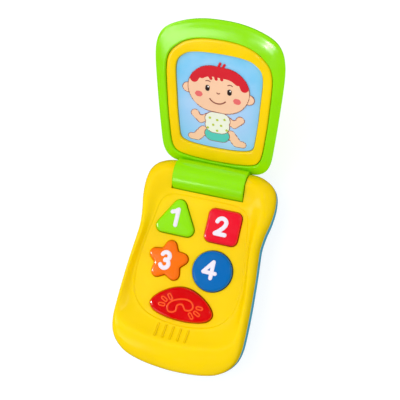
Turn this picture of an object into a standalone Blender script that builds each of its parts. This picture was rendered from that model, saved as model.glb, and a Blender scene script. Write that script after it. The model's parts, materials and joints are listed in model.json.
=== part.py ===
"""Toy flip phone lying on its back with the lid open.

X is across the phone, +Y runs from the chin to the hinge, +Z is up. The origin is the centre of
the flat back. Sizes below are millimetres and are scaled to metres when a mesh is made.
"""

import math

import bpy
from mathutils import Vector

MM = 0.001

# Body heights
SEAM_Z = 17.0
SEAM_GAP = 0.2
DECK_Z = 28.0
WALL = 2.0
REAR_WALL_TOP = 9.0
REAR_WALL_RISE = 1.4
NARROWEST_INSET = 8.8

# Hinge
AXIS_Y = 56.66
AXIS_Z = 26.21
LID_OPEN_DEG = 44.16
BARREL_R = 10.0
BARREL_HALF = 22.9
POCKET_R = 10.5
POCKET_HALF = 23.3
PIN_R = 2.95

# Lid, in its own frame: Y from the hinge axis to the free end, Z out of its inner face
LID_FACE = -7.35
LID_Y0 = 10.14
LID_SPLIT = 3.6
LID_CROWN = ((0.0, 2.6), (0.0, 1.8), (0.05, 1.4), (0.16, 1.05), (0.4, 0.5), (0.68, 0.12))
LID_SCREWS = ((-21.0, 15.6), (21.0, 15.6), (-14.0, 87.0), (14.0, 87.0))

# Buttons
FLANGE_BOTTOM = 24.4
FLANGE_TOP = 25.6
BUTTON_TOP = 30.8
BUTTON_WALL = 1.6
FLANGE_LIP = 1.1
HOLE_GAP = 0.35
TRIANGLE_AT = (-15.3, 27.9)
SQUARE_AT = (14.5, 29.2)
STAR_AT = (-14.9, 1.7)
CIRCLE_AT = (14.0, 1.3)
CALL_AT = (0.0, -22.8)

# Circuit board
BOARD_BOTTOM = 19.9
BOARD_TOP = 21.5
BOARD_HALF = 27.0
BOARD_Y = (-28.5, 40.0)
BOARD_SCREWS = ((0.0, 37.0), (-24.3, -17.5), (24.3, -17.5))

# Speaker
SPEAKER_Y = -46.7
SPEAKER_R = 13.0
SLOT_X = (-11.0, -6.2, -1.4, 3.4, 8.2)
SLOT_Y = (-44.2, -36.9)
SLOT_WIDTH = 0.6

# Battery compartment, two AAA cells
CELL_R = 5.2
CELL_X = 6.1
CELL_Z = 7.6
BAY_HALF = 12.0
BAY_Y = (-25.5, 25.5)
BAY_TOP = 13.2
DOOR_HALF = 14.8
DOOR_Y = (-28.6, 36.2)
DOOR_Z = (0.0, 1.7)
DOOR_SCREW_Y = 31.4

# Power switch
SWITCH_Y = 47.0
SWITCH_TRAVEL = 4.0

# Case screws
CASE_SCREWS = ((-33.0, -19.0), (33.0, -19.0), (-33.6, 48.0), (33.6, 48.0))

# Right half of each outline, from the middle of the chin round to the middle of the hinge end.
# Seam outline: x, y, squareness of the wall's curve, how far the back face is inset
SEAM = [
    (0.0, -64.1, 2.8, 12.4),
    (12.0, -63.5, 2.8, 12.3),
    (21.8, -62.0, 3.0, 12.0),
    (29.7, -59.4, 3.4, 11.6),
    (35.5, -55.0, 4.0, 11.0),
    (39.2, -49.4, 4.4, 10.4),
    (40.9, -42.2, 4.2, 9.6),
    (41.1, -33.0, 3.5, 9.0),
    (40.9, -21.0, 3.2, 8.8),
    (40.4, -9.0, 3.2, 8.8),
    (39.7, 3.0, 3.2, 8.8),
    (38.9, 13.0, 3.2, 8.8),
    (38.4, 21.0, 3.2, 8.8),
    (39.3, 29.5, 3.1, 8.9),
    (41.1, 38.0, 3.0, 9.4),
    (42.0, 47.0, 3.0, 10.2),
    (41.2, 55.0, 2.8, 11.0),
    (38.4, 60.3, 2.6, 11.8),
    (33.8, 63.7, 2.4, 12.6),
    (27.0, 65.8, 2.2, 13.1),
    (14.0, 66.2, 2.0, 13.3),
    (0.0, 66.3, 2.0, 13.3),
]
# Rim crest: x, y, z, and how far up its quarter curve the wall stops, in degrees
CREST = [
    (0.0, -46.9, 35.0, 56.0),
    (11.0, -46.4, 35.0, 56.0),
    (20.5, -45.1, 35.0, 57.0),
    (28.5, -43.2, 35.0, 60.0),
    (34.3, -41.0, 34.9, 66.0),
    (37.6, -37.4, 34.5, 74.0),
    (38.9, -31.5, 33.9, 82.0),
    (38.9, -24.0, 33.3, 88.0),
    (38.5, -15.0, 32.9, 90.0),
    (37.8, -5.5, 32.6, 90.0),
    (36.6, 4.0, 32.5, 90.0),
    (35.4, 13.0, 32.5, 90.0),
    (35.0, 21.0, 32.5, 90.0),
    (35.8, 29.5, 32.6, 90.0),
    (36.8, 38.0, 32.8, 88.0),
    (36.4, 45.5, 33.1, 84.0),
    (34.8, 51.5, 33.8, 80.0),
    (31.6, 55.2, 34.3, 78.0),
    (27.5, 57.0, 34.5, 78.0),
    (21.0, 57.4, 34.5, 78.0),
    (10.0, 57.4, 34.5, 78.0),
    (0.0, 57.4, 34.5, 78.0),
]
# Edge of the flat button deck: x, y
DECK = [
    (0.0, -35.7),
    (9.0, -35.0),
    (16.0, -33.7),
    (21.5, -31.8),
    (26.0, -28.9),
    (29.6, -24.9),
    (32.0, -20.2),
    (33.2, -15.0),
    (33.8, -9.0),
    (33.8, -2.0),
    (33.2, 6.0),
    (32.2, 14.0),
    (31.0, 21.5),
    (29.8, 29.5),
    (28.6, 36.5),
    (26.6, 40.4),
    (23.5, 42.6),
    (19.0, 43.6),
    (14.5, 43.9),
    (10.0, 44.0),
    (5.0, 44.0),
    (0.0, 44.0),
]
# Lid outlines from the middle of the hinge edge to the middle of the free end, measured along the
# lid from LID_Y0: rim, picture bezel, window
LID_RIM = [
    (0.0, -6.6),
    (12.0, -6.6),
    (22.0, -6.6),
    (27.5, -5.8),
    (31.6, -3.2),
    (34.2, 1.0),
    (35.6, 6.5),
    (36.4, 15.0),
    (37.5, 29.0),
    (38.4, 43.0),
    (39.1, 56.0),
    (39.3, 65.0),
    (38.9, 71.8),
    (37.5, 77.8),
    (34.5, 83.1),
    (29.8, 86.9),
    (23.6, 89.7),
    (16.9, 91.8),
    (9.0, 93.2),
    (0.0, 93.6),
]
LID_BEZEL = [
    (0.0, -1.4),
    (10.0, -1.1),
    (17.0, -0.5),
    (22.0, 0.4),
    (25.8, 2.0),
    (27.9, 4.7),
    (29.1, 8.5),
    (30.0, 15.0),
    (31.2, 29.0),
    (31.9, 43.0),
    (32.3, 55.0),
    (32.1, 61.6),
    (31.1, 66.8),
    (29.1, 70.8),
    (26.2, 74.0),
    (22.4, 77.1),
    (17.5, 79.5),
    (11.8, 81.1),
    (6.0, 81.8),
    (0.0, 82.0),
]
LID_WINDOW = [
    (0.0, 8.0),
    (8.0, 8.2),
    (14.0, 8.7),
    (18.5, 9.5),
    (22.0, 10.9),
    (23.6, 13.2),
    (24.1, 16.4),
    (24.6, 21.0),
    (25.5, 32.0),
    (26.0, 43.0),
    (26.5, 53.0),
    (26.6, 59.0),
    (26.0, 63.3),
    (24.6, 66.4),
    (22.0, 69.0),
    (18.7, 71.0),
    (14.0, 72.1),
    (9.5, 72.6),
    (5.0, 72.8),
    (0.0, 72.9),
]
CALL_OUTLINE = [
    (0.0, -9.6),
    (6.0, -9.4),
    (12.5, -8.3),
    (17.0, -6.7),
    (19.4, -4.5),
    (20.0, -2.0),
    (18.6, 1.0),
    (15.0, 4.6),
    (10.0, 7.8),
    (5.0, 9.9),
    (0.0, 10.6),
]

YELLOW = (1.0, 0.72, 0.0)
GREEN = (0.27, 0.80, 0.0)
RED = (0.93, 0.01, 0.03)
ORANGE = (1.0, 0.22, 0.005)
BLUE = (0.0, 0.14, 0.48)
CYAN = (0.10, 0.42, 0.60)
DARK_RED = (0.75, 0.01, 0.01)
SKY = (0.22, 0.62, 0.90)
STEEL = (0.55, 0.55, 0.57)
BRASS = (0.75, 0.62, 0.33)
BOARD_TAN = (0.55, 0.33, 0.10)
RUBBER = (0.80, 0.80, 0.76)
BLACK = (0.02, 0.02, 0.02)


def clear_scene():
    for obj in list(bpy.data.objects):
        bpy.data.objects.remove(obj, do_unlink=True)


def material(name, rgb, rough=0.35, metal=0.0):
    made = bpy.data.materials.new(name)
    made.use_nodes = True
    shader = made.node_tree.nodes["Principled BSDF"]
    shader.inputs["Base Color"].default_value = (*rgb, 1.0)
    shader.inputs["Roughness"].default_value = rough
    shader.inputs["Metallic"].default_value = metal
    made.diffuse_color = (*rgb, 1.0)
    return made


# Outlines ------------------------------------------------------------------------------------


def smooth_loop(half, per=1):
    """Mirrors a right half across x = 0 and passes a smooth closed curve through its points."""
    left = [(-row[0], *row[1:]) for row in half[-2:0:-1]]
    rows = list(half) + left
    count = len(rows)
    loop = []
    for i in range(count):
        a, b, c, d = (rows[(i + k) % count] for k in (-1, 0, 1, 2))
        for step in range(per):
            t = step / per
            row = []
            for p, q, r, s in zip(a, b, c, d):
                bend = 2 * p - 5 * q + 4 * r - s
                twist = 3 * q - p - 3 * r + s
                row.append(q + 0.5 * t * (r - p + t * (bend + t * twist)))
            loop.append(tuple(row))
    return loop


def inset(loop, distance):
    """Moves each point of an anticlockwise loop inwards. The distance is one number or a list."""
    count = len(loop)
    moved = []
    for i, row in enumerate(loop):
        before = loop[i - 1]
        after = loop[(i + 1) % count]
        tx = after[0] - before[0]
        ty = after[1] - before[1]
        length = math.hypot(tx, ty)
        by = distance[i] if isinstance(distance, list) else distance
        moved.append((row[0] - by * ty / length, row[1] + by * tx / length, *row[2:]))
    return moved


def shrink(loop, factor):
    cx = sum(row[0] for row in loop) / len(loop)
    cy = sum(row[1] for row in loop) / len(loop)
    return [(cx + (row[0] - cx) * factor, cy + (row[1] - cy) * factor) for row in loop]


def shift(loop, at):
    return [(row[0] + at[0], row[1] + at[1]) for row in loop]


def level(loop, z):
    return [(row[0], row[1], z) for row in loop]


def arc(centre, radius, start, end, count):
    points = []
    for i in range(count + 1):
        angle = math.radians(start + (end - start) * i / count)
        points.append((centre[0] + radius * math.cos(angle), centre[1] + radius * math.sin(angle)))
    return points


def circle(centre, radius, count=32):
    return arc(centre, radius, 0, 360, count)[:-1]


def rounded_box(half_x, half_y, radius, count=5):
    loop = []
    for sx, sy, start in ((1, 1, 0), (-1, 1, 90), (-1, -1, 180), (1, -1, 270)):
        corner = (sx * (half_x - radius), sy * (half_y - radius))
        loop += arc(corner, radius, start, start + 90, count)
    return loop


def rounded_triangle(radius=4.2, count=6):
    loop = []
    for corner, start in (((8.0, -5.2), -90), ((0.0, 8.5), 30.6), ((-8.0, -5.2), 149.4)):
        loop += arc(corner, radius, start, start + 120.6, count)
    return loop


def rounded(corners, radii, count):
    """An anticlockwise polygon with each corner, outward or inward, rounded to its radius."""
    loop = []
    for i, (corner, radius) in enumerate(zip(corners, radii)):
        here = Vector(corner)
        back = (Vector(corners[i - 1]) - here).normalized()
        ahead = (Vector(corners[(i + 1) % len(corners)]) - here).normalized()
        half = back.angle(ahead) / 2
        centre = here + (back + ahead).normalized() * (radius / math.sin(half))
        first = here + back * (radius / math.tan(half)) - centre
        last = here + ahead * (radius / math.tan(half)) - centre
        sweep = -first.angle_signed(last)
        start = math.atan2(first.y, first.x)
        for k in range(count + 1):
            angle = start + sweep * k / count
            loop.append((centre.x + radius * math.cos(angle), centre.y + radius * math.sin(angle)))
    return loop


def star():
    """A star with five blunt points."""
    corners = []
    for i in range(5):
        for radius, degrees in ((17.5, 90 + 72 * i), (8.5, 126 + 72 * i)):
            angle = math.radians(degrees)
            corners.append((radius * math.cos(angle), radius * math.sin(angle)))
    return rounded(corners, [3.5, 1.8] * 5, 3)


# Solids --------------------------------------------------------------------------------------


def add_object(name, points, faces, mat, smooth=False):
    mesh = bpy.data.meshes.new(name)
    mesh.from_pydata([(x * MM, y * MM, z * MM) for x, y, z in points], [], faces)
    mesh.validate()
    obj = bpy.data.objects.new(name, mesh)
    bpy.context.scene.collection.objects.link(obj)
    if mat:
        mesh.materials.append(mat)
    for polygon in mesh.polygons:
        polygon.use_smooth = smooth
    return obj


def loft(name, rings, mat=None, closed=False, smooth=True):
    """Skins rings of equal length. The rings run so that the faces look outwards: an
    anticlockwise stack rises. A closed loft joins its last ring to its first, and an open one
    is capped at both ends."""
    width = len(rings[0])
    points = [point for ring in rings for point in ring]
    faces = []
    pairs = len(rings) if closed else len(rings) - 1
    for i in range(pairs):
        low = i * width
        high = ((i + 1) % len(rings)) * width
        for j in range(width):
            k = (j + 1) % width
            faces.append((low + j, low + k, high + k, high + j))
    if not closed:
        faces.append(tuple(reversed(range(width))))
        top = (len(rings) - 1) * width
        faces.append(tuple(range(top, top + width)))
    return add_object(name, points, faces, mat, smooth)


def prism(name, loop, low, high, mat=None):
    return loft(name, [level(loop, low), level(loop, high)], mat, smooth=False)


def prism_x(name, profile, low, high, mat=None):
    """A prism along X. The profile is (y, z), anticlockwise seen from +X."""
    rings = [[(x, y, z) for y, z in profile] for x in (low, high)]
    return loft(name, rings, mat, smooth=False)


def box(name, low, high, mat=None):
    loop = [(low[0], low[1]), (high[0], low[1]), (high[0], high[1]), (low[0], high[1])]
    return prism(name, loop, low[2], high[2], mat)


def cylinder(name, at, radius, low, high, mat=None, count=14):
    return prism(name, circle(at, radius, count), low, high, mat)


def lathe(name, profile, mat=None, axis="Z", at=(0.0, 0.0, 0.0), count=32, closed=False):
    """Turns (radius, height) about an axis. An open profile is capped flat at both ends, and a
    closed one makes a ring."""
    rings = []
    for radius, height in profile:
        ring = []
        for i in range(count):
            angle = 2 * math.pi * i / count
            a = radius * math.cos(angle)
            b = radius * math.sin(angle)
            turned = {"Z": (a, b, height), "X": (height, a, b), "Y": (b, height, a)}[axis]
            ring.append(tuple(at[k] + turned[k] for k in range(3)))
        rings.append(ring)
    return loft(name, rings, mat, closed)


def joined(name, pieces, mat=None):
    """One mesh from several, for pieces that don't touch."""
    points = []
    faces = []
    for piece in pieces:
        start = len(points)
        points += [tuple(v.co / MM) for v in piece.data.vertices]
        faces += [tuple(start + i for i in p.vertices) for p in piece.data.polygons]
        bpy.data.objects.remove(piece, do_unlink=True)
    return add_object(name, points, faces, mat)


def tube(name, path, radius, mat, sides=8):
    """A round wire along a path that never runs along X."""
    rings = []
    for i, here in enumerate(path):
        before = path[max(i - 1, 0)]
        after = path[min(i + 1, len(path) - 1)]
        run = [after[k] - before[k] for k in range(3)]
        length = math.sqrt(sum(v * v for v in run))
        t = [v / length for v in run]
        side = math.hypot(t[1], t[2])
        u = (0.0, -t[2] / side, t[1] / side)
        v = (t[1] * u[2] - t[2] * u[1], t[2] * u[0] - t[0] * u[2], t[0] * u[1] - t[1] * u[0])
        ring = []
        for j in range(sides):
            angle = 2 * math.pi * j / sides
            ca = radius * math.cos(angle)
            sa = radius * math.sin(angle)
            ring.append(tuple(here[k] + ca * u[k] + sa * v[k] for k in range(3)))
        rings.append(ring)
    return loft(name, rings, mat)


def boolean(target, tool, operation="DIFFERENCE"):
    change = target.modifiers.new(f"{operation.lower()}_{tool.name}", "BOOLEAN")
    change.operation = operation
    change.solver = "EXACT"
    change.object = tool
    tool.hide_render = True
    tool.display_type = "WIRE"


def set_origin(obj, at):
    """Puts the object's origin on a point, in millimetres, and leaves its shape where it is."""
    for vertex in obj.data.vertices:
        for k in range(3):
            vertex.co[k] -= at[k] * MM
    obj.location = [v * MM for v in at]


# Body ----------------------------------------------------------------------------------------

RAMP_STEPS = (0.15, 0.32, 0.5, 0.68, 0.85)
WALL_STEPS = (0.0, 0.22, 0.42, 0.62, 0.81, 1.0)


def wall_rings(outer, crest, low):
    """Rings up a curved wall, from the outer outline to the crest."""
    rings = []
    for step in WALL_STEPS:
        ring = []
        for seam, top in zip(outer, crest):
            power = 2.0 / seam[2]
            stop = math.radians(top[3])
            end = max(math.cos(stop), 0.0) ** power
            across = (max(math.cos(stop * step), 0.0) ** power - end) / (1.0 - end)
            up = (math.sin(stop * step) / math.sin(stop)) ** power
            x = top[0] + (seam[0] - top[0]) * across
            y = top[1] + (seam[1] - top[1]) * across
            ring.append((x, y, low + (top[2] - low) * up))
        rings.append(ring)
    return rings


def ramp_rings(crest, deck, floor):
    """Rings down from the crest to the deck, starting level where the wall ended level."""
    rings = []
    for t in RAMP_STEPS:
        ring = []
        for top, foot in zip(crest, deck):
            ridge = min((90.0 - top[3]) / 30.0, 1.0)
            ease = (1 - ridge) * t * t * (3 - 2 * t) + ridge * (1 - (1 - t) ** 1.5)
            x = top[0] + (foot[0] - top[0]) * t
            y = top[1] + (foot[1] - top[1]) * t
            ring.append((x, y, top[2] + (floor - top[2]) * ease))
        rings.append(ring)
    rings.append(level(deck, floor))
    return rings


def hinge_profile(radius, back, bottom, top):
    """A profile in (y, z) round the front half of the hinge, open above and behind."""
    front = arc((AXIS_Y, AXIS_Z), radius, 180, 270, 12)
    return [(back, top), (AXIS_Y - radius, top), *front, (AXIS_Y, bottom), (back, bottom)]


def pocket(name):
    floor = AXIS_Z - POCKET_R
    front = arc((AXIS_Y, AXIS_Z), POCKET_R, 90, 270, 24)
    profile = [*front, (76.0, floor), (76.0, 46.0), (AXIS_Y, 46.0)]
    return prism_x(name, profile, -POCKET_HALF, POCKET_HALF)


def speaker_seat():
    at = (0.0, SPEAKER_Y)
    loop = arc(at, 14.8, 160, 380, 14) + arc(at, 13.4, 380, 160, 14)
    return prism("keep_speaker_seat", loop, 22.5, 45.0)


def make_front_shell(mat, outlines):
    seam = smooth_loop(SEAM)
    crest = smooth_loop(CREST)
    deck = smooth_loop(DECK)
    low = SEAM_Z + SEAM_GAP / 2
    rings = wall_rings(seam, crest, low)
    rings += ramp_rings(crest, deck, DECK_Z)
    shell = loft("front_shell", rings, mat)

    inner_crest = [(x, y, z - 3.2, stop) for x, y, z, stop in inset(crest, 1.2)]
    rings = [level(inset(seam, WALL), low - 6.0)]
    rings += wall_rings(inset(seam, WALL), inner_crest, low - 0.5)
    rings += ramp_rings(inner_crest, inset(deck, -1.0), DECK_Z - WALL)
    cavity = loft("front_cavity", rings)
    profile = hinge_profile(12.5, 64.0, AXIS_Z - 12.5, 45.0)
    keep = [prism_x("keep_hinge", profile, -25.6, 25.6)]
    for x, y in CASE_SCREWS:
        keep.append(cylinder("keep_boss", (x, y), 3.0, 0.0, 45.0))
    for x, y in BOARD_SCREWS:
        keep.append(cylinder("keep_post", (x, y), 2.4, BOARD_TOP + 0.1, 45.0))
    keep.append(speaker_seat())
    boolean(cavity, joined("front_keep", keep))
    boolean(shell, cavity)

    boolean(shell, box("trough_floor", (-25.0, 48.4, 13.7), (25.0, 63.6, 18.6)), "UNION")
    boolean(shell, pocket("front_pocket"))

    holes = []
    for outline, at in outlines:
        holes.append(prism("hole", shift(inset(outline, -HOLE_GAP), at), 24.0, 40.0))
    for x in SLOT_X:
        half = SLOT_WIDTH / 2
        loop = arc((x, SLOT_Y[1]), half, 0, 180, 6) + arc((x, SLOT_Y[0]), half, 180, 360, 6)
        holes.append(prism("slot", loop, 25.0, 45.0))
    for x, y in CASE_SCREWS:
        holes.append(cylinder("pilot", (x, y), 1.0, 10.0, 26.5, count=12))
    for x, y in BOARD_SCREWS:
        holes.append(cylinder("pilot", (x, y), 0.85, 18.0, 26.2, count=12))
    for side in (-1, 1):
        profile = circle((AXIS_Y, AXIS_Z), PIN_R + 0.15, 24)
        ends = sorted((side * 22.0, side * 30.5))
        holes.append(prism_x("pin_bore", profile, *ends))
    boolean(shell, joined("front_holes", holes))
    return shell


def make_rear_shell(mat):
    seam = smooth_loop(SEAM)
    high = SEAM_Z - SEAM_GAP / 2
    insets = [row[3] for row in seam]
    tops = [REAR_WALL_TOP + REAR_WALL_RISE * (depth - NARROWEST_INSET) for depth in insets]

    def rings_for(base, depth_in, floor):
        rings = []
        for degrees in (90, 72, 54, 36, 18, 0):
            across = 1.0 - max(math.cos(math.radians(degrees)), 0.0) ** 0.9
            down = math.sin(math.radians(degrees)) ** 0.9
            ring = inset(base, [depth * across for depth in depth_in])
            ring = [(p[0], p[1], top - (top - floor) * down) for p, top in zip(ring, tops)]
            rings.append(ring)
        return rings

    shell = loft("rear_shell", rings_for(seam, insets, 0.0) + [level(seam, high)], mat)
    inner = inset(seam, WALL)
    rings = rings_for(inner, [d - 0.6 for d in insets], WALL)
    rings.append(level(inner, high + 4.0))
    cavity = loft("rear_cavity", rings)

    keep = []
    for x, y in CASE_SCREWS:
        keep.append(cylinder("keep_boss", (x, y), 4.3, -2.0, 30.0))
    keep.append(box("keep_bay", (-14.0, -27.5, -1.0), (14.0, 27.5, 14.7)))
    keep.append(box("keep_door_frame", (-17.2, -31.0, -2.0), (17.2, 38.6, 3.4)))
    keep.append(cylinder("keep_door_boss", (0.0, DOOR_SCREW_Y), 3.4, -1.0, 12.0))
    keep.append(box("keep_switch", (-10.5, SWITCH_Y - 6.5, -2.0), (10.5, SWITCH_Y + 6.0, 4.0)))
    for piece in keep:
        boolean(cavity, piece)
    boolean(shell, cavity)
    boolean(shell, pocket("rear_pocket"))

    holes = []
    for x, y in CASE_SCREWS:
        steps = [(3.1, -2.0), (3.1, 10.0), (1.5, 10.0), (1.5, 20.0)]
        holes.append(lathe("screw_hole", steps, at=(x, y, 0.0), count=16))
    bay = box("bay", (-BAY_HALF, BAY_Y[0], 1.0), (BAY_HALF, BAY_Y[1], BAY_TOP))
    door_seat = box("door_seat", (-15.1, -28.9, -2.0), (15.1, 36.5, 1.9))
    pilot = cylinder("door_pilot", (0.0, DOOR_SCREW_Y), 1.0, 1.0, 10.5, count=12)
    holes.append(pilot)
    holes.append(box("switch_seat", (-8.5, SWITCH_Y - 4.2, -2.0), (8.5, SWITCH_Y + 4.2, 1.6)))
    for x in (-CELL_X, CELL_X):
        holes.append(box("tab_slot", (x - 1.6, 24.5, 12.0), (x + 1.6, 25.4, 16.0)))
    slot = box("switch_slot", (-4.9, SWITCH_Y - 2.1, 1.0), (4.9, SWITCH_Y + 2.1, 6.0))
    boolean(shell, bay)
    boolean(shell, door_seat)
    boolean(shell, slot)
    boolean(shell, joined("rear_holes", holes))
    return shell


def make_door(mat):
    x = DOOR_HALF
    middle = sum(DOOR_Y) / 2
    half = (DOOR_Y[1] - DOOR_Y[0]) / 2
    loop = shift(rounded_box(x, half, 1.2, 3), (0.0, middle))
    door = prism("battery_door", loop, DOOR_Z[0], DOOR_Z[1], mat)
    steps = [(2.9, -1.0), (2.9, 1.0), (1.5, 1.0), (1.5, 3.0)]
    boolean(door, lathe("door_hole", steps, at=(0.0, DOOR_SCREW_Y, 0.0), count=20))
    return door


def make_screw(name, mat, at, head_z, tip_z, head_r=2.5, shaft_r=0.9, head=1.8, cross=True):
    """A pan-head screw driven upwards, with a cross in its head. head_z is its lowest point."""
    profile = [(head_r * 0.8, head_z), (head_r, head_z + head * 0.3), (head_r, head_z + head)]
    profile += [(shaft_r, head_z + head), (shaft_r, tip_z - shaft_r), (0.25, tip_z)]
    screw = lathe(name, profile, mat, at=(at[0], at[1], 0.0), count=12)
    if not cross:
        return screw
    long = head_r * 0.55
    thin = head_r * 0.13
    deep = head_z + head * 0.55
    loop = [(long, thin), (thin, thin), (thin, long)]
    loop += [(-thin, long), (-thin, thin), (-long, thin)]
    loop += [(-long, -thin), (-thin, -thin), (-thin, -long)]
    loop += [(thin, -long), (thin, -thin), (long, -thin)]
    boolean(screw, prism(f"{name}_cross", shift(loop, at), head_z - 1.0, deep))
    return screw


# Buttons -------------------------------------------------------------------------------------


def make_button(name, outline, at, mat, top=BUTTON_TOP, dome=False):
    """A hollow cap with a flange under the deck and a plunger in its middle."""
    cap = shift(outline, at)
    inner = inset(cap, BUTTON_WALL)
    plunger = []
    for row in inner:
        angle = math.atan2(row[1] - at[1], row[0] - at[0])
        plunger.append((at[0] + 2.2 * math.cos(angle), at[1] + 2.2 * math.sin(angle)))
    ceiling = top - 2.0
    rings = [level(plunger, FLANGE_BOTTOM), level(plunger, ceiling)]
    rings += [level(inner, ceiling), level(inner, FLANGE_BOTTOM)]
    flange = inset(cap, -FLANGE_LIP)
    rings += [level(flange, FLANGE_BOTTOM), level(flange, FLANGE_TOP)]
    rings += [level(cap, FLANGE_TOP), level(cap, top - 1.5)]
    rings += [level(inset(cap, 0.25), top - 0.8), level(inset(cap, 0.9), top - 0.25)]
    rings += [level(inset(cap, 1.9), top)]
    if dome:
        rings = rings[:-1]
        rings += [level(shrink(cap, 0.7), top + 0.35), level(shrink(cap, 0.35), top + 0.6)]
    button = loft(name, rings, mat)
    set_origin(button, (at[0], at[1], top))
    return button


def make_dome(name, at, mat):
    low = BOARD_TOP + 0.02
    outer = [(3.6, low), (3.6, low + 0.5), (3.0, low + 0.6), (2.0, 24.1)]
    inner = [(0.6, 24.1), (0.6, 23.1), (1.5, 22.9), (2.4, low)]
    return lathe(name, outer + inner, mat, at=(at[0], at[1], 0.0), count=14, closed=True)


# Lid -----------------------------------------------------------------------------------------


def lid_loop(half):
    return smooth_loop([(x, y + LID_Y0) for x, y in half])


def lid_level(loop, depth):
    return level(loop, LID_FACE - depth)


def between(outer, inner, share):
    """The loop that lies a given share of the way from one loop to another."""
    pairs = zip(outer, inner)
    return [tuple(a[k] + (b[k] - a[k]) * share for k in (0, 1)) for a, b in pairs]


def make_lid_frame(mat):
    rim = lid_loop(LID_RIM)
    seat = inset(lid_loop(LID_BEZEL), -0.15)
    groove = inset(seat, -1.6)
    rings = [lid_level(groove, 4.6), lid_level(groove, 2.2), lid_level(inset(rim, 2.0), 2.4)]
    rings += [lid_level(inset(rim, 2.0), LID_SPLIT), lid_level(inset(rim, 0.5), LID_SPLIT)]
    for share, depth in LID_CROWN:
        rings.append(lid_level(between(rim, seat, share), depth))
    rings += [lid_level(inset(seat, -0.4), 0.1), lid_level(seat, 0.5), lid_level(seat, 3.0)]
    frame = loft("lid_frame", rings, mat)

    end = BARREL_HALF
    bore = PIN_R + 0.1
    barrel = [(bore, -end), (9.3, -end), (BARREL_R, 0.7 - end), (BARREL_R, end - 0.7)]
    barrel += [(9.3, end), (bore, end), (bore, end - 2.3), (8.2, end - 2.3)]
    barrel += [(8.2, 2.3 - end), (bore, 2.3 - end)]
    boolean(frame, lathe("lid_barrel", barrel, axis="X", count=36, closed=True), "UNION")

    neck = [(5.0, -9.0), (0.0, -9.3), (-4.0, -8.1), (-4.7, -9.6), (-0.34, -13.95)]
    neck += [(1.8, -14.0), (3.2, -13.0), (3.2, -10.6), (5.0, -10.6)]
    boolean(frame, prism_x("lid_neck", neck, -22.4, 22.4), "UNION")

    holes = []
    for x, y in LID_SCREWS:
        steps = [(0.95, -14.0), (0.95, LID_FACE - 4.1), (2.1, LID_FACE - 4.1)]
        steps += [(2.1, LID_FACE + 1.0)]
        holes.append(lathe("lid_hole", steps, at=(x, y, 0.0), count=16))
    boolean(frame, joined("lid_holes", holes))
    return frame


def make_lid_cover(mat):
    rim = lid_loop(LID_RIM)
    rings = [lid_level(shrink(rim, 0.4), 9.9), lid_level(shrink(rim, 0.7), 9.6)]
    rings += [lid_level(inset(rim, 5.0), 8.8), lid_level(inset(rim, 2.9), 7.5)]
    rings += [lid_level(inset(rim, 1.5), 5.8), lid_level(inset(rim, 0.85), 4.6)]
    rings += [lid_level(inset(rim, 0.55), LID_SPLIT + 0.1), lid_level(inset(rim, 2.1), LID_SPLIT + 0.1)]
    rings += [lid_level(inset(rim, 2.7), 5.3), lid_level(inset(rim, 3.8), 6.5)]
    rings += [lid_level(inset(rim, 5.6), 7.2), lid_level(shrink(rim, 0.7), 7.8)]
    rings += [lid_level(shrink(rim, 0.4), 8.1)]
    cover = loft("lid_cover", rings, mat)
    bosses = []
    for x, y in LID_SCREWS:
        low = LID_FACE - 8.3
        bosses.append(cylinder("boss", (x, y), 2.2, low, LID_FACE - 4.8, count=16))
    boolean(cover, joined("cover_bosses", bosses), "UNION")
    pilots = []
    for x, y in LID_SCREWS:
        pilots.append(cylinder("pilot", (x, y), 0.7, LID_FACE - 7.6, LID_FACE, count=10))
    boolean(cover, joined("cover_pilots", pilots))
    return cover


def make_bezel(mat):
    outer = inset(lid_loop(LID_BEZEL), 0.15)
    window = lid_loop(LID_WINDOW)
    rings = [lid_level(window, 2.9), lid_level(outer, 2.9), lid_level(outer, 1.5)]
    rings += [lid_level(inset(outer, 0.8), 1.0), lid_level(between(outer, window, 0.5), 0.8)]
    rings += [lid_level(inset(window, -0.6), 1.1), lid_level(window, 1.6)]
    return loft("picture_bezel", rings, mat, closed=True)


def make_picture_card(mat):
    card = inset(lid_loop(LID_WINDOW), 0.2)
    return loft("picture_card", [lid_level(card, 2.95), lid_level(card, 2.35)], mat, smooth=False)


# Inside --------------------------------------------------------------------------------------


def make_board(mat):
    middle = sum(BOARD_Y) / 2
    half = (BOARD_Y[1] - BOARD_Y[0]) / 2
    loop = shift(rounded_box(BOARD_HALF, half, 2.0, 4), (0.0, middle))
    board = prism("circuit_board", loop, BOARD_BOTTOM, BOARD_TOP, mat)
    holes = [cylinder("hole", at, 1.2, 18.0, 24.0, count=12) for at in BOARD_SCREWS]
    boolean(board, joined("board_holes", holes))
    return board


def make_speaker(shell_mat, cone_mat):
    at = (0.0, SPEAKER_Y, 0.0)
    frame = [(8.0, 15.5), (8.0, 19.2), (12.4, 21.0), (12.6, 23.6), (SPEAKER_R, 23.6)]
    frame += [(SPEAKER_R, 24.8), (12.1, 24.8), (11.8, 22.0), (7.4, 20.4)]
    lathe("speaker_frame", frame, shell_mat, at=at, count=24)
    cone = [(4.0, 21.1), (9.5, 23.4), (11.5, 23.9), (11.5, 24.4), (9.5, 24.0), (4.0, 21.8)]
    cone += [(3.0, 22.4), (1.4, 22.8)]
    lathe("speaker_cone", cone, cone_mat, at=at, count=24)


def make_cell(name, x, plus, mat):
    """An AAA cell. plus is 1 if its button faces the hinge and -1 if it faces the chin."""
    profile = [(4.4, -19.9), (CELL_R, -19.6), (CELL_R, 23.3), (4.6, 23.6)]
    profile += [(1.9, 23.6), (1.9, 24.6)]
    if plus < 0:
        profile = [(radius, -height) for radius, height in reversed(profile)]
    return lathe(name, profile, mat, axis="Y", at=(x, 0.0, CELL_Z), count=18)


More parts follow.
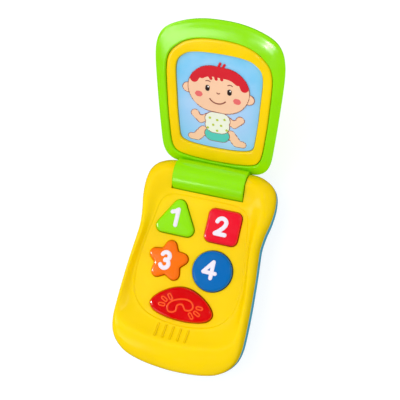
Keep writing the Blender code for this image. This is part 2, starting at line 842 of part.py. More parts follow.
def make_spring(name, x, wide_y, narrow_y, mat, turns=3.5, wire=0.35):
    rings = []
    steps = int(turns * 11)
    for i in range(steps + 1):
        t = i / steps
        angle = 2 * math.pi * turns * t
        radius = 3.8 - 1.6 * t
        y = wide_y + (narrow_y - wide_y) * t
        ring = []
        for j in range(5):
            around = 2 * math.pi * j / 5
            reach = radius + wire * math.cos(around)
            rise = wire * math.sin(around)
            ring.append((x + reach * math.cos(angle), y + rise, CELL_Z + reach * math.sin(angle)))
        rings.append(ring)
    return loft(name, rings, mat)


def make_contact(name, x, mat):
    """A flat contact with a tab that goes up through the roof of the bay."""
    profile = [(-4.0, 3.2), (4.0, 3.2), (4.0, 12.4), (1.2, 12.4)]
    profile += [(1.2, 15.8), (-1.2, 15.8), (-1.2, 12.4), (-4.0, 12.4)]
    rings = [[(x + px, y, z) for px, z in profile] for y in (25.25, 24.85)]
    return loft(name, rings, mat, smooth=False)


def make_switch(knob_mat, body_mat):
    y = SWITCH_Y
    tip = [(-2.4, -1.8), (2.4, -1.8), (2.4, 1.8), (-2.4, 1.8)]
    plate = [(-6.0, -3.0), (6.0, -3.0), (6.0, 3.0), (-6.0, 3.0)]
    at = (-SWITCH_TRAVEL / 2, y)
    low = shift(tip, at)
    high = shift(plate, at)
    rings = [level(low, 0.4), level(low, 4.3), level(high, 4.3), level(high, 5.4)]
    knob = loft("switch_knob", rings, knob_mat, smooth=False)
    set_origin(knob, (at[0], y, 4.3))
    box("switch_body", (-8.0, y - 3.6, 5.7), (8.0, y + 3.6, 10.7), body_mat)


def make_pin(name, side, mat):
    steps = [(PIN_R, 19.6), (PIN_R, 26.0), (3.7, 26.0), (3.7, 27.2), (2.4, 28.0)]
    if side < 0:
        steps = [(radius, -reach) for radius, reach in reversed(steps)]
    return lathe(name, steps, mat, axis="X", at=(0.0, AXIS_Y, AXIS_Z), count=16)


def main():
    clear_scene()
    yellow = material("yellow_abs", YELLOW)
    green = material("green_abs", GREEN)
    cyan = material("cyan_abs", CYAN)
    steel = material("steel", STEEL, 0.3, 1.0)
    brass = material("brass", BRASS, 0.3, 1.0)
    black = material("black_plastic", BLACK, 0.5)
    rubber = material("grey_rubber", RUBBER, 0.8)

    square = rounded_box(10.5, 10.5, 3.8)
    lens = smooth_loop(CALL_OUTLINE, 2)
    buttons = [
        ("button_1_triangle", rounded_triangle(), TRIANGLE_AT, material("green_key", GREEN)),
        ("button_2_square", square, SQUARE_AT, material("red_key", RED)),
        ("button_3_star", star(), STAR_AT, material("orange_key", ORANGE)),
        ("button_4_circle", circle((0, 0), 12.5, 28), CIRCLE_AT, material("blue_key", BLUE)),
        ("button_call", lens, CALL_AT, material("red_lens", DARK_RED, 0.15)),
    ]
    make_front_shell(yellow, [(outline, at) for _, outline, at, _ in buttons])
    make_rear_shell(cyan)
    make_door(cyan)
    for name, outline, at, mat in buttons:
        call = name == "button_call"
        make_button(name, outline, at, mat, dome=call)
        make_dome(f"rubber_dome_{name.split('_')[1]}", at, rubber)

    make_board(material("board", BOARD_TAN, 0.5))
    make_speaker(steel, black)
    box("led", (7.5, -24.0, BOARD_TOP + 0.05), (10.7, -22.0, 22.7), material("led_clear", RUBBER, 0.2))
    make_cell("battery_1", -CELL_X, 1, material("cell_wrap", (0.05, 0.3, 0.12), 0.3))
    make_cell("battery_2", CELL_X, -1, material("cell_wrap_2", (0.05, 0.3, 0.12), 0.3))
    make_spring("battery_spring_1", -CELL_X, -24.5, -20.4, steel)
    make_spring("battery_spring_2", CELL_X, 24.4, 20.4, steel)
    make_contact("contact_plus", -CELL_X, brass)
    make_contact("contact_minus", CELL_X, brass)
    box("contact_bridge", (-10.5, -25.3, 3.2), (10.5, -24.9, 12.4), brass)
    make_switch(black, steel)
    for side, word in ((-1, "left"), (1, "right")):
        make_pin(f"hinge_pin_{word}", side, steel)

    for i, at in enumerate(CASE_SCREWS):
        make_screw(f"case_screw_{i + 1}", steel, at, 8.1, 25.0)
    for i, at in enumerate(BOARD_SCREWS):
        make_screw(f"board_screw_{i + 1}", steel, at, 18.4, 25.5, 2.1, 0.75, 1.4, False)
    make_screw("door_screw", steel, (0.0, DOOR_SCREW_Y), 0.1, 9.5, 2.6, 0.9, 0.85)

    red_wire = material("red_wire", (0.6, 0.02, 0.02), 0.5)
    black_wire = material("black_wire", BLACK, 0.5)
    for side, word, mat in ((-1, "red", red_wire), (1, "black", black_wire)):
        x = side * 4.0
        path = [(x, -34.7, 21.4), (x, -32.4, 20.4), (x, -30.0, 18.9), (x, -27.6, 18.6)]
        tube(f"speaker_wire_{word}", path + [(x, -25.5, 19.3)], 0.55, mat)
        x = side * CELL_X
        path = [(x, 25.6, 16.6), (x, 26.6, 17.7), (x, 28.6, 18.5)]
        tube(f"battery_wire_{word}", path + [(x, 31.0, 19.3)], 0.55, mat)

    pivot = bpy.data.objects.new("lid_pivot", None)
    bpy.context.scene.collection.objects.link(pivot)
    pivot.location = (0.0, AXIS_Y * MM, AXIS_Z * MM)
    pivot.rotation_euler = (math.radians(LID_OPEN_DEG), 0.0, 0.0)
    before = set(bpy.data.objects)
    make_lid_frame(green)
    make_lid_cover(material("green_cover", GREEN))
    make_bezel(material("yellow_bezel", YELLOW))
    make_picture_card(material("picture", SKY, 0.5))
    for i, at in enumerate(LID_SCREWS):
        screw = make_screw(f"lid_screw_{i + 1}", steel, at, 0.0, 4.2, 1.9, 0.6, 0.85, False)
        flip_screw(screw, LID_FACE - 3.15)
    for obj in set(bpy.data.objects) - before:
        obj.parent = pivot


def flip_screw(screw, head_z):
    """Turns a screw over so that it drives downwards, with its head's top at head_z."""
    for vertex in screw.data.vertices:
        vertex.co.z = head_z * MM - vertex.co.z
    screw.data.flip_normals()


main()
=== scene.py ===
"""Looks of a toy flip phone that lies on its back with its lid open.

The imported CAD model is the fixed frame. The visible shells, keys, lid and screws are remade finely
from the same outlines, and the hidden pieces keep their CAD meshes with better materials. Lengths
are millimetres and are scaled to metres when a mesh is made.
"""

import json
from math import acos, atan2, cos, dist, hypot, pi, radians, sin, sqrt, tan

import bpy
import numpy as np
from mathutils import Matrix, Vector
from mathutils.bvhtree import BVHTree


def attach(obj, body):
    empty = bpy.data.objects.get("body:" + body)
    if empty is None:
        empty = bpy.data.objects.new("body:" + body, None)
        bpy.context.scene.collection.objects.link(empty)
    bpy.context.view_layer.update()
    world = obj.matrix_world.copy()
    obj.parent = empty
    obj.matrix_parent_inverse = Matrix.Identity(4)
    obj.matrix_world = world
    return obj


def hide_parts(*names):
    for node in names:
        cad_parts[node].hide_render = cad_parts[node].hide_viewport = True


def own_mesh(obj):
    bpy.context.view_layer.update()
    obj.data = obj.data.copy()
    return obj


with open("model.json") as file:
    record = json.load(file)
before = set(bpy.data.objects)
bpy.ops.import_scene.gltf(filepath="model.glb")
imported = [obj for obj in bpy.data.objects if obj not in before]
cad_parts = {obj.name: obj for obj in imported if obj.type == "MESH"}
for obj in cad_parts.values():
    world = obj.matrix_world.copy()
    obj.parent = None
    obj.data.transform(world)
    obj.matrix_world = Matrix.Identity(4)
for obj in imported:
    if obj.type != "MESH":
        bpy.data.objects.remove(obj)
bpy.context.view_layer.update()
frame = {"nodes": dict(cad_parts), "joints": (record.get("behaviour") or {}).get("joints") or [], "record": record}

MM = 0.001
FINE = 6
WORLD_LOW = 0.6
WORLD_HIGH = 1.05
FLOOR_GLOW = 0.72
FLOOR_HALF = 14
FLOOR_Z = -0.02

# Frame sizes
HINGE = next(joint for joint in frame["joints"] if joint["name"] == "lid_hinge")
AXIS_Y = HINGE["pos_m"][1] / MM
AXIS_Z = HINGE["pos_m"][2] / MM
LID_OPEN_DEG = 44.16
SEAM_Z = 17
SEAM_GAP = 0.2
SEAM_EDGE = 0.3
DECK_Z = 28
PANEL_STEP = 0.7
WALL = 2
REAR_WALL_TOP = 9
REAR_WALL_RISE = 1.4
NARROWEST_INSET = 8.8
BARREL_R = 10
BARREL_HALF = 22.9
POCKET_R = 10.5
POCKET_HALF = 23.3
PIN_R = 2.95
LID_FACE = -7.35
LID_Y0 = 10.14
LID_SCREWS = ((-21, 15.6), (21, 15.6), (-14, 87), (14, 87))
LID_TURN = Matrix.Rotation(radians(LID_OPEN_DEG), 4, "X")
LID_PLACE = Matrix.Translation((0, AXIS_Y * MM, AXIS_Z * MM)) @ LID_TURN

# Keys
FLANGE_BOTTOM = 24.4
FLANGE_TOP = 25.6
KEY_TOP = 30.8
KEY_WALL = 1.6
FLANGE_LIP = 1.1
HOLE_GAP = 0.35
HOLE_EDGE = 0.45
KEY_EDGE = 2.5
KEY_DROP = 1.7
TRIANGLE_AT = (-15.3, 27.9)
SQUARE_AT = (14.5, 29.2)
STAR_AT = (-14.9, 1.7)
CIRCLE_AT = (14, 1.3)
CALL_AT = (0, -22.8)

# Fasteners, speaker, battery bay and switch
BOARD_TOP = 21.5
DOME_TOP = 24.1
BOARD_SCREWS = ((0, 37), (-24.3, -17.5), (24.3, -17.5))
CASE_SCREWS = ((-33, -19), (33, -19), (-33.6, 48), (33.6, 48))
SPEAKER_Y = -46.7
SLOT_X = (-11, -6.2, -1.4, 3.4, 8.2)
SLOT_Y = (-44.2, -36.9)
SLOT_WIDTH = 0.2
GROOVE_WIDTH = 2.3
GROOVE_DEPTH = 0.8
CELL_X = 6.1
DOOR_AT = (0, 3.8)
DOOR_HALF = (14.8, 32.4)
DOOR_THICK = 1.7
DOOR_SCREW_Y = 31.4
SWITCH_Y = 47
SWITCH_TRAVEL = 4

# Right half of each outline, from the middle of the chin round to the middle of the hinge end.
# Seam outline: x, y, squareness of the wall's curve, how far the back face is inset
SEAM = [
    (0, -64.1, 2.8, 12.4), (12, -63.5, 2.8, 12.3), (21.8, -62, 3, 12), (29.7, -59.4, 3.4, 11.6),
    (35.5, -55, 4, 11), (39.2, -49.4, 4.4, 10.4), (40.9, -42.2, 4.2, 9.6), (41.1, -33, 3.5, 9),
    (40.9, -21, 3.2, 8.8), (40.4, -9, 3.2, 8.8), (39.7, 3, 3.2, 8.8), (38.9, 13, 3.2, 8.8),
    (38.4, 21, 3.2, 8.8), (39.3, 29.5, 3.1, 8.9), (41.1, 38, 3, 9.4), (42, 47, 3, 10.2),
    (41.2, 55, 2.8, 11), (38.4, 60.3, 2.6, 11.8), (33.8, 63.7, 2.4, 12.6), (27, 65.8, 2.2, 13.1),
    (14, 66.2, 2, 13.3), (0, 66.3, 2, 13.3),
]
# Rim crest: x, y, z, and how far up its quarter curve the wall stops, in degrees
CREST = [
    (0, -46.9, 35, 56), (11, -46.4, 35, 56), (20.5, -45.1, 35, 57), (28.5, -43.2, 35, 60),
    (34.3, -41, 34.9, 66), (37.6, -37.4, 34.5, 74), (38.9, -31.5, 33.9, 82), (38.9, -24, 33.3, 88),
    (38.5, -15, 32.9, 90), (37.8, -5.5, 32.6, 90), (36.6, 4, 32.5, 90), (35.4, 13, 32.5, 90),
    (35, 21, 32.5, 90), (35.8, 29.5, 32.6, 90), (36.8, 38, 32.8, 88), (36.4, 45.5, 33.1, 84),
    (34.8, 51.5, 33.8, 80), (31.6, 55.2, 34.3, 78), (27.5, 57, 34.5, 78), (21, 57.4, 34.5, 78),
    (10, 57.4, 34.5, 78), (0, 57.4, 34.5, 78),
]
# Edge of the flat key panel: x, y
DECK = [
    (0, -35.7), (9, -35), (16, -33.7), (21.5, -31.8), (26, -28.9), (29.6, -24.9), (32, -20.2),
    (33.2, -15), (33.8, -9), (33.8, -2), (33.2, 6), (32.2, 14), (31, 21.5), (29.8, 29.5), (28.6, 36.5),
    (26.6, 40.4), (23.5, 42.6), (19, 43.6), (14.5, 43.9), (10, 44), (5, 44), (0, 44),
]
# Lid outlines from the middle of the hinge edge to the middle of the free end, measured along the
# lid from LID_Y0: rim, picture bezel, window
LID_RIM = [
    (0, -6.6), (12, -6.6), (22, -6.6), (27.5, -5.8), (31.6, -3.2), (34.2, 1), (35.6, 6.5), (36.4, 15),
    (37.5, 29), (38.4, 43), (39.1, 56), (39.3, 65), (38.9, 71.8), (37.5, 77.8), (34.5, 83.1),
    (29.8, 86.9), (23.6, 89.7), (16.9, 91.8), (9, 93.2), (0, 93.6),
]
LID_BEZEL = [
    (0, -1.4), (10, -1.1), (17, -0.5), (22, 0.4), (25.8, 2), (27.9, 4.7), (29.1, 8.5), (30, 15),
    (31.2, 29), (31.9, 43), (32.3, 55), (32.1, 61.6), (31.1, 66.8), (29.1, 70.8), (26.2, 74),
    (22.4, 77.1), (17.5, 79.5), (11.8, 81.1), (6, 81.8), (0, 82),
]
LID_WINDOW = [
    (0, 8), (8, 8.2), (14, 8.7), (18.5, 9.5), (22, 10.9), (23.6, 13.2), (24.1, 16.4), (24.6, 21),
    (25.5, 32), (26, 43), (26.5, 53), (26.6, 59), (26, 63.3), (24.6, 66.4), (22, 69), (18.7, 71),
    (14, 72.1), (9.5, 72.6), (5, 72.8), (0, 72.9),
]
CALL_OUTLINE = [
    (0, -9.6), (6, -9.4), (12.5, -8.3), (17, -6.7), (19.4, -4.5), (20, -2), (18.6, 1), (15, 4.6),
    (10, 7.8), (5, 9.9), (0, 10.6),
]


# ---- Outlines ----


def spline(rows, per, closed):
    """A Catmull-Rom curve through rows of any width, with per steps between neighbours."""
    count = len(rows)
    spans = count if closed else count - 1
    points = []
    for i in range(spans):
        if closed:
            a, b, c, d = (rows[(i + k) % count] for k in (-1, 0, 1, 2))
        else:
            a, b, c, d = (rows[min(max(i + k, 0), count - 1)] for k in (-1, 0, 1, 2))
        for step in range(per):
            t = step / per
            row = []
            for p, q, r, s in zip(a, b, c, d):
                bend = 2 * p - 5 * q + 4 * r - s
                twist = 3 * q - p - 3 * r + s
                row.append(q + 0.5 * t * (r - p + t * (bend + t * twist)))
            points.append(tuple(row))
    if not closed:
        points.append(tuple(rows[-1]))
    return points


def smooth_loop(half, per=FINE):
    """Mirrors a right half across x = 0 and passes a smooth closed curve through its points."""
    left = [(-row[0], *row[1:]) for row in half[-2:0:-1]]
    return spline(list(half) + left, per, closed=True)


def inset(loop, distance):
    """Moves each point of an anticlockwise loop inwards. The distance is one number or a list."""
    count = len(loop)
    moved = []
    for i, row in enumerate(loop):
        before = loop[i - 1]
        after = loop[(i + 1) % count]
        tx = after[0] - before[0]
        ty = after[1] - before[1]
        length = hypot(tx, ty)
        by = distance[i] if isinstance(distance, list) else distance
        moved.append((row[0] - by * ty / length, row[1] + by * tx / length, *row[2:]))
    return moved


def shrink(loop, factor, centre=None):
    if centre is None:
        centre = [sum(row[k] for row in loop) / len(loop) for k in (0, 1)]
    return [tuple(centre[k] + (row[k] - centre[k]) * factor for k in (0, 1)) for row in loop]


def shift(loop, at):
    return [(row[0] + at[0], row[1] + at[1]) for row in loop]


def turn(points, degrees, at=(0, 0)):
    """Turns points about the origin and then shifts them."""
    c = cos(radians(degrees))
    s = sin(radians(degrees))
    return [(at[0] + x * c - y * s, at[1] + x * s + y * c) for x, y in points]


def level(loop, z):
    return [(row[0], row[1], z) for row in loop]


def stack(loop, *steps):
    """Rings from one loop. Each step says how far in its ring lies, and its height."""
    return [level(inset(loop, by), z) for by, z in steps]


def arc(centre, radius, start, end, count):
    points = []
    for i in range(count + 1):
        angle = radians(start + (end - start) * i / count)
        points.append((centre[0] + radius * cos(angle), centre[1] + radius * sin(angle)))
    return points


def circle(centre, radius, count=96):
    return arc(centre, radius, 0, 360, count)[:-1]


def rounded_box(half_x, half_y, radius, count=12, straight=4):
    loop = []
    for sx, sy, start in ((1, 1, 0), (-1, 1, 90), (-1, -1, 180), (1, -1, 270)):
        corner = (sx * (half_x - radius), sy * (half_y - radius))
        loop += arc(corner, radius, start, start + 90, count)
    return divide(loop, straight)


def rounded(corners, radii, count=12, straight=4):
    """An anticlockwise polygon with each corner, outward or inward, rounded to its radius."""
    loop = []
    for i, (corner, radius) in enumerate(zip(corners, radii)):
        here = Vector(corner)
        back = (Vector(corners[i - 1]) - here).normalized()
        ahead = (Vector(corners[(i + 1) % len(corners)]) - here).normalized()
        half = acos(max(min(back.dot(ahead), 1), -1)) / 2
        centre = here + (back + ahead).normalized() * (radius / sin(half))
        first = here + back * (radius / tan(half)) - centre
        last = here + ahead * (radius / tan(half)) - centre
        sweep = -first.angle_signed(last)
        start = atan2(first.y, first.x)
        for k in range(count + 1):
            angle = start + sweep * k / count
            loop.append((centre.x + radius * cos(angle), centre.y + radius * sin(angle)))
    return divide(loop, straight)


def rounded_triangle():
    loop = []
    for corner, start in (((8, -5.2), -90), ((0, 8.5), 30.6), ((-8, -5.2), 149.4)):
        loop += arc(corner, 4.2, start, start + 120.6, 20)
    return divide(loop, 10)


def divide(loop, parts):
    """Adds points along the long straight stretches of a loop."""
    made = []
    for i, here in enumerate(loop):
        after = loop[(i + 1) % len(loop)]
        steps = parts if dist(here, after) > 3 else 1
        for k in range(steps):
            t = k / steps
            made.append((here[0] + (after[0] - here[0]) * t, here[1] + (after[1] - here[1]) * t))
    return made


def star():
    """A star with five blunt points."""
    corners = []
    for i in range(5):
        for radius, degrees in ((17.5, 90 + 72 * i), (8.5, 126 + 72 * i)):
            angle = radians(degrees)
            corners.append((radius * cos(angle), radius * sin(angle)))
    return rounded(corners, [3.5, 1.8] * 5)


# ---- Meshes ----


def place(name, data):
    obj = bpy.data.objects.new(name, data)
    bpy.context.scene.collection.objects.link(obj)
    return obj


def add_object(name, points, faces):
    mesh = bpy.data.meshes.new(name)
    mesh.from_pydata([(x * MM, y * MM, z * MM) for x, y, z in points], [], faces)
    return place(name, mesh)


def loft(name, rings, closed=False):
    """Skins rings of equal length. An anticlockwise stack rises. A closed loft joins its last ring
    to its first, and an open one is capped at both ends."""
    width = len(rings[0])
    points = [point for ring in rings for point in ring]
    faces = []
    pairs = len(rings) if closed else len(rings) - 1
    for i in range(pairs):
        low = i * width
        high = ((i + 1) % len(rings)) * width
        for j in range(width):
            k = (j + 1) % width
            faces.append((low + j, low + k, high + k, high + j))
    if not closed:
        faces.append(tuple(reversed(range(width))))
        top = (len(rings) - 1) * width
        faces.append(tuple(range(top, top + width)))
    return add_object(name, points, faces)


def prism(name, loop, low, high):
    return loft(name, [level(loop, low), level(loop, high)])


def prism_x(name, profile, low, high):
    """A prism along X. The profile is (y, z), anticlockwise seen from +X."""
    return loft(name, [[(x, y, z) for y, z in profile] for x in (low, high)])


def box(name, low, high):
    loop = [(low[0], low[1]), (high[0], low[1]), (high[0], high[1]), (low[0], high[1])]
    return prism(name, loop, low[2], high[2])


def cylinder(name, at, radius, low, high, count=32):
    return prism(name, circle(at, radius, count), low, high)


def lathe(name, profile, axis="Z", at=(0, 0), count=96, closed=False):
    """Turns (radius, height) about an axis. An open profile is capped flat at both ends, and a
    closed one makes a ring."""
    rings = []
    for radius, height in profile:
        ring = circle((0, 0), radius, count)
        if axis == "Z":
            rings.append(level(shift(ring, at), height))
        else:
            rings.append([(height, y, z) for y, z in ring])
    return loft(name, rings, closed)


def joined(name, pieces):
    """One mesh from several, for cutters that don't touch."""
    points = []
    faces = []
    for piece in pieces:
        start = len(points)
        points += [tuple(v.co / MM) for v in piece.data.vertices]
        faces += [tuple(start + i for i in p.vertices) for p in piece.data.polygons]
        bpy.data.objects.remove(piece, do_unlink=True)
    return add_object(name, points, faces)


def carve(target, tool, operation="DIFFERENCE"):
    """Applies a Boolean to the mesh and removes the tool."""
    change = target.modifiers.new("carve", "BOOLEAN")
    change.operation = operation
    change.solver = "EXACT"
    change.object = tool
    shape = target.evaluated_get(bpy.context.evaluated_depsgraph_get())
    made = bpy.data.meshes.new_from_object(shape)
    target.modifiers.clear()
    target.data = made
    bpy.data.objects.remove(tool, do_unlink=True)


def surface_under(obj):
    """A function that gives the height of an object's top surface, in millimetres."""
    tree = BVHTree.FromObject(obj, bpy.context.evaluated_depsgraph_get())

    def height(x, y):
        hit = tree.ray_cast(Vector((x * MM, y * MM, 1)), Vector((0, 0, -1)))[0]
        return hit.z / MM

    return height


def nearest(points, strokes):
    """How far each point lies outside the nearest stroke, and that stroke's nearest middle point
    and radius. A stroke is a radius and the points of its middle line."""
    best = np.full(len(points), 1e9)
    middle = np.zeros((len(points), 2))
    reach = np.zeros(len(points))
    for radius, line in strokes:
        ends = line[1:] if len(line) > 1 else line
        for a, b in zip(np.array(line), np.array(ends)):
            run = b - a
            t = np.clip((points - a) @ run / max(run @ run, 1e-9), 0, 1)
            foot = a + t[:, None] * run
            outside = np.hypot(*(points - foot).T) - radius
            closer = outside < best
            best[closer] = outside[closer]
            middle[closer] = foot[closer]
            reach[closer] = radius
    return best, middle, reach


def relief(name, strokes, under, height, edge, spacing, sunk=0.15):
    """A raised figure made of thick strokes. Its outline is exact, its top is flat with an edge
    that rounds off, and it follows the surface that it stands on."""
    widest = max(radius for radius, _ in strokes) + spacing
    ends = np.array([point for _, line in strokes for point in line])
    low = ends.min(0) - widest
    steps = np.ceil((ends.max(0) + widest - low) / spacing).astype(int) + 1
    axes = [low[k] + spacing * np.arange(steps[k]) for k in (0, 1)]
    grid = np.stack(np.meshgrid(*axes, indexing="ij"), -1).reshape(-1, 2)
    outside, middle, reach = nearest(grid, strokes)
    rim = outside > -0.5 * spacing
    away = grid - middle
    length = np.maximum(np.hypot(*away.T), 1e-6)
    grid[rim] = (middle + away * (reach / length)[:, None])[rim]
    depth = np.where(rim, 0, -outside)
    inner = np.clip(1 - depth / edge, 0, 1)
    rise = height * np.sqrt(1 - inner**2)
    kept = (outside < 0.5 * spacing).reshape(steps)
    cells = kept[:-1, :-1] & kept[1:, :-1] & kept[:-1, 1:] & kept[1:, 1:]

    index = {}
    points = []
    faces = []

    def corner(i, j):
        key = i * steps[1] + j
        if key not in index:
            x, y = grid[key]
            z = under(x, y)
            index[key] = len(points)
            points.append((x, y, z + rise[key]))
            points.append((x, y, z - sunk))
        return index[key]

    edges = {}
    for i, j in zip(*np.nonzero(cells)):
        quad = [corner(i, j), corner(i + 1, j), corner(i + 1, j + 1), corner(i, j + 1)]
        faces.append(tuple(quad))
        faces.append(tuple(v + 1 for v in reversed(quad)))
        for a, b in zip(quad, quad[1:] + quad[:1]):
            if (b, a) in edges:
                del edges[(b, a)]
            else:
                edges[(a, b)] = True
    for a, b in edges:
        faces.append((b, a, a + 1, b + 1))
    return add_object(name, points, faces)


# ---- Materials ----


def linear(rgb):
    """Linear light from a colour in 0 to 255."""
    return tuple((v / 255 / 12.92 if v <= 10 else ((v / 255 + 0.055) / 1.055) ** 2.4) for v in rgb)


def feed(made, values):
    """Sets a node's inputs, and links those whose value is another node's output."""
    for name, value in values.items():
        if isinstance(value, bpy.types.NodeSocket):
            made.id_data.links.new(value, made.inputs[name])
        else:
            made.inputs[name].default_value = value


def node(tree, kind, values=None, **settings):
    made = tree.nodes.new(kind)
    for name, value in settings.items():
        setattr(made, name, value)
    feed(made, values or {})
    return made


def noise(tree, coords, scale, detail=3):
    values = {"Scale": scale, "Detail": detail, "Vector": coords}
    return node(tree, "ShaderNodeTexNoise", values).outputs["Fac"]


def remap(tree, value, low, high, start=0.3, end=0.7):
    ends = {"From Min": start, "From Max": end, "To Min": low, "To Max": high, "Value": value}
    return node(tree, "ShaderNodeMapRange", ends).outputs["Result"]


def mix_colour(tree, fac, low, high):
    low, high = ((*colour, 1) if isinstance(colour, tuple) else colour for colour in (low, high))
    return node(tree, "ShaderNodeMix", {0: fac, 6: low, 7: high}, data_type="RGBA").outputs[2]


def bump(tree, height, strength, depth_mm):
    values = {"Strength": strength, "Distance": depth_mm * MM, "Height": height}
    return node(tree, "ShaderNodeBump", values).outputs["Normal"]


def start_material(name):
    made = bpy.data.materials.new(name)
    made.use_nodes = True
    tree = made.node_tree
    coords = node(tree, "ShaderNodeTexCoord").outputs["Object"]
    return made, tree, tree.nodes["Principled BSDF"], coords


def plastic(name, rgb, rough=0.17, vary=0.05, grain=0.12, specular=0.5, coat=0):
    """Moulded plastic: faint flow clouds in the colour, a patchy polish and a fine skin."""
    made, tree, shader, coords = start_material(name)
    base = linear(rgb)
    deep = tuple(v * (1 - vary) for v in base)
    pale = tuple(min(v * (1 + 0.4 * vary), 1) for v in base)
    clouds = noise(tree, coords, 38, 4)
    polish = noise(tree, coords, 240, 5)
    look = {
        "Base Color": mix_colour(tree, remap(tree, clouds, 0, 1), deep, pale),
        "Roughness": remap(tree, polish, rough - 0.04, rough + 0.05),
        "Normal": bump(tree, noise(tree, coords, 1500, 2), grain, 0.02),
        "Specular IOR Level": specular,
        "Coat Weight": coat,
        "Coat Roughness": 0.08,
    }
    feed(shader, look)
    return made


def steel(name, rgb):
    """Plated steel with fine turning marks and dull patches."""
    made, tree, shader, coords = start_material(name)
    base = linear(rgb)
    dull = tuple(v * 0.78 for v in base)
    patches = noise(tree, coords, 420, 4)
    look = {
        "Base Color": mix_colour(tree, remap(tree, patches, 0, 1), base, dull),
        "Roughness": remap(tree, patches, 0.3, 0.5),
        "Normal": bump(tree, noise(tree, coords, 3200, 2), 0.3, 0.02),
        "Metallic": 1,
    }
    feed(shader, look)
    return made


def board_material(name, rgb):
    """Phenolic board: layered fibres under a thin lacquer."""
    made, tree, shader, coords = start_material(name)
    base = linear(rgb)
    dark = tuple(v * 0.7 for v in base)
    stretched = node(tree, "ShaderNodeMapping", {"Scale": (1, 0.12, 1), "Vector": coords})
    fibres = noise(tree, stretched.outputs["Vector"], 1800, 5)
    look = {
        "Base Color": mix_colour(tree, remap(tree, fibres, 0, 1), dark, base),
        "Roughness": remap(tree, fibres, 0.4, 0.6),
        "Normal": bump(tree, fibres, 0.2, 0.03),
    }
    feed(shader, look)
    return made


def sky_material(name):
    """A printed sky that pales towards the middle, on glossy card."""
    made, tree, shader, coords = start_material(name)
    centre = LID_PLACE @ Vector((0, (LID_Y0 + 34) * MM, LID_FACE * MM))
    away = node(tree, "ShaderNodeVectorMath", {0: coords, 1: centre}, operation="DISTANCE")
    ring = remap(tree, away.outputs["Value"], 0, 1, 0.006, 0.036)
    sky = mix_colour(tree, ring, linear((186, 212, 252)), linear((112, 204, 250)))
    cloud = remap(tree, noise(tree, coords, 55, 3), 0, 0.35, 0.45, 0.75)
    grain = noise(tree, coords, 900, 3)
    look = {
        "Base Color": mix_colour(tree, cloud, sky, linear((200, 226, 255))),
        "Roughness": remap(tree, grain, 0.3, 0.4),
        "Normal": bump(tree, grain, 0.15, 0.01),
    }
    feed(shader, look)
    return made


# Each plastic's colour, roughness, cloudiness, grain, specular level and clear coat
PLASTICS = {
    "yellow_abs": ((252, 213, 0), 0.17, 0.05, 0.12, 0.3),
    "green_abs": ((146, 232, 0),),
    "cyan_abs": ((88, 184, 216),),
    "red_key": ((240, 12, 42),),
    "orange_key": ((254, 116, 4),),
    "blue_key": ((0, 106, 184), 0.17, 0.05, 0.12, 0.35),
    "red_lens": ((222, 2, 8), 0.1, 0.08, 0.05, 0.5, 0.6),
    "lens_line": ((255, 84, 30), 0.2, 0.04, 0.1),
    "digit_white": ((240, 232, 244), 0.35, 0.03, 0.15),
    "dome_rubber": ((228, 228, 222), 0.7, 0.08, 0.5),
    "black_plastic": ((22, 22, 24), 0.45, 0.3, 0.5),
    "speaker_paper": ((26, 26, 28), 0.6, 0.4, 0.8),
    "led_clear": ((242, 242, 230), 0.1, 0.02, 0.05),
    "cell_wrap": ((64, 148, 98), 0.25, 0.1, 0.2),
    "red_wire": ((204, 26, 26), 0.45, 0.1, 0.3),
}
MATERIALS = {name: plastic(name, *look) for name, look in PLASTICS.items()}
MATERIALS["steel"] = steel("steel", (200, 200, 204))
MATERIALS["contact_brass"] = steel("contact_brass", (226, 205, 150))
MATERIALS["board"] = board_material("board", (194, 152, 90))
MATERIALS["picture"] = sky_material("picture")


def dress(obj, slot, body, *nodes, material=None, sharp=32):
    """Gives a piece its material and smooth shading, and ties it to the frame."""
    mesh = obj.data
    mesh.materials.clear()
    mesh.materials.append(material or MATERIALS[slot])
    mesh.polygons.foreach_set("material_index", [0] * len(mesh.polygons))
    mesh.shade_smooth()
    mesh.set_sharp_from_angle(angle=radians(sharp))
    even = obj.modifiers.new("even_shading", "WEIGHTED_NORMAL")
    even.keep_sharp = True
    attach(obj, body)
    if nodes:
        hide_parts(*nodes)
    return obj


# ---- Body ----

WALL_STEPS = [i / 20 for i in range(21)]
RAMP_STEPS = [i / 16 for i in range(1, 16)]


def wall_rings(outer, crest, low, steps=WALL_STEPS):
    """Rings up a curved wall, from the outer outline to the crest."""
    rings = []
    for step in steps:
        ring = []
        for seam, top in zip(outer, crest):
            power = 2 / seam[2]
            stop = radians(min(top[3], 90))
            end_c = max(cos(stop), 0) ** power
            c = (max(cos(stop * step), 0) ** power - end_c) / (1 - end_c)
            s = (sin(stop * step) / sin(stop)) ** power
            x = top[0] + (seam[0] - top[0]) * c
            y = top[1] + (seam[1] - top[1]) * c
            ring.append((x, y, low + (top[2] - low) * s))
        rings.append(ring)
    return rings


def ramp_rings(crest, deck, floor, steps=RAMP_STEPS):
    """Rings down from the crest to the deck, starting level where the wall ended level."""
    rings = []
    for t in steps:
        ring = []
        for top, foot in zip(crest, deck):
            ridge = min(max((90 - top[3]) / 30, 0), 1)
            ease = (1 - ridge) * t * t * (3 - 2 * t) + ridge * (1 - (1 - t) ** 1.5)
            x = top[0] + (foot[0] - top[0]) * t
            y = top[1] + (foot[1] - top[1]) * t
            ring.append((x, y, top[2] + (floor - top[2]) * ease))
        rings.append(ring)
    rings.append(level(deck, floor))
    return rings


def soften(rings, middle, reach, times):
    """Rounds a ridge by averaging the rings near it with their neighbours."""
    made = [np.array([row[:3] for row in ring]) for ring in rings]
    for _ in range(times):
        old = [ring.copy() for ring in made]
        for i in range(middle - reach, middle + reach + 1):
            made[i] = old[i] * 0.5 + (old[i - 1] + old[i + 1]) * 0.25
    return [[tuple(row) for row in ring] for ring in made]


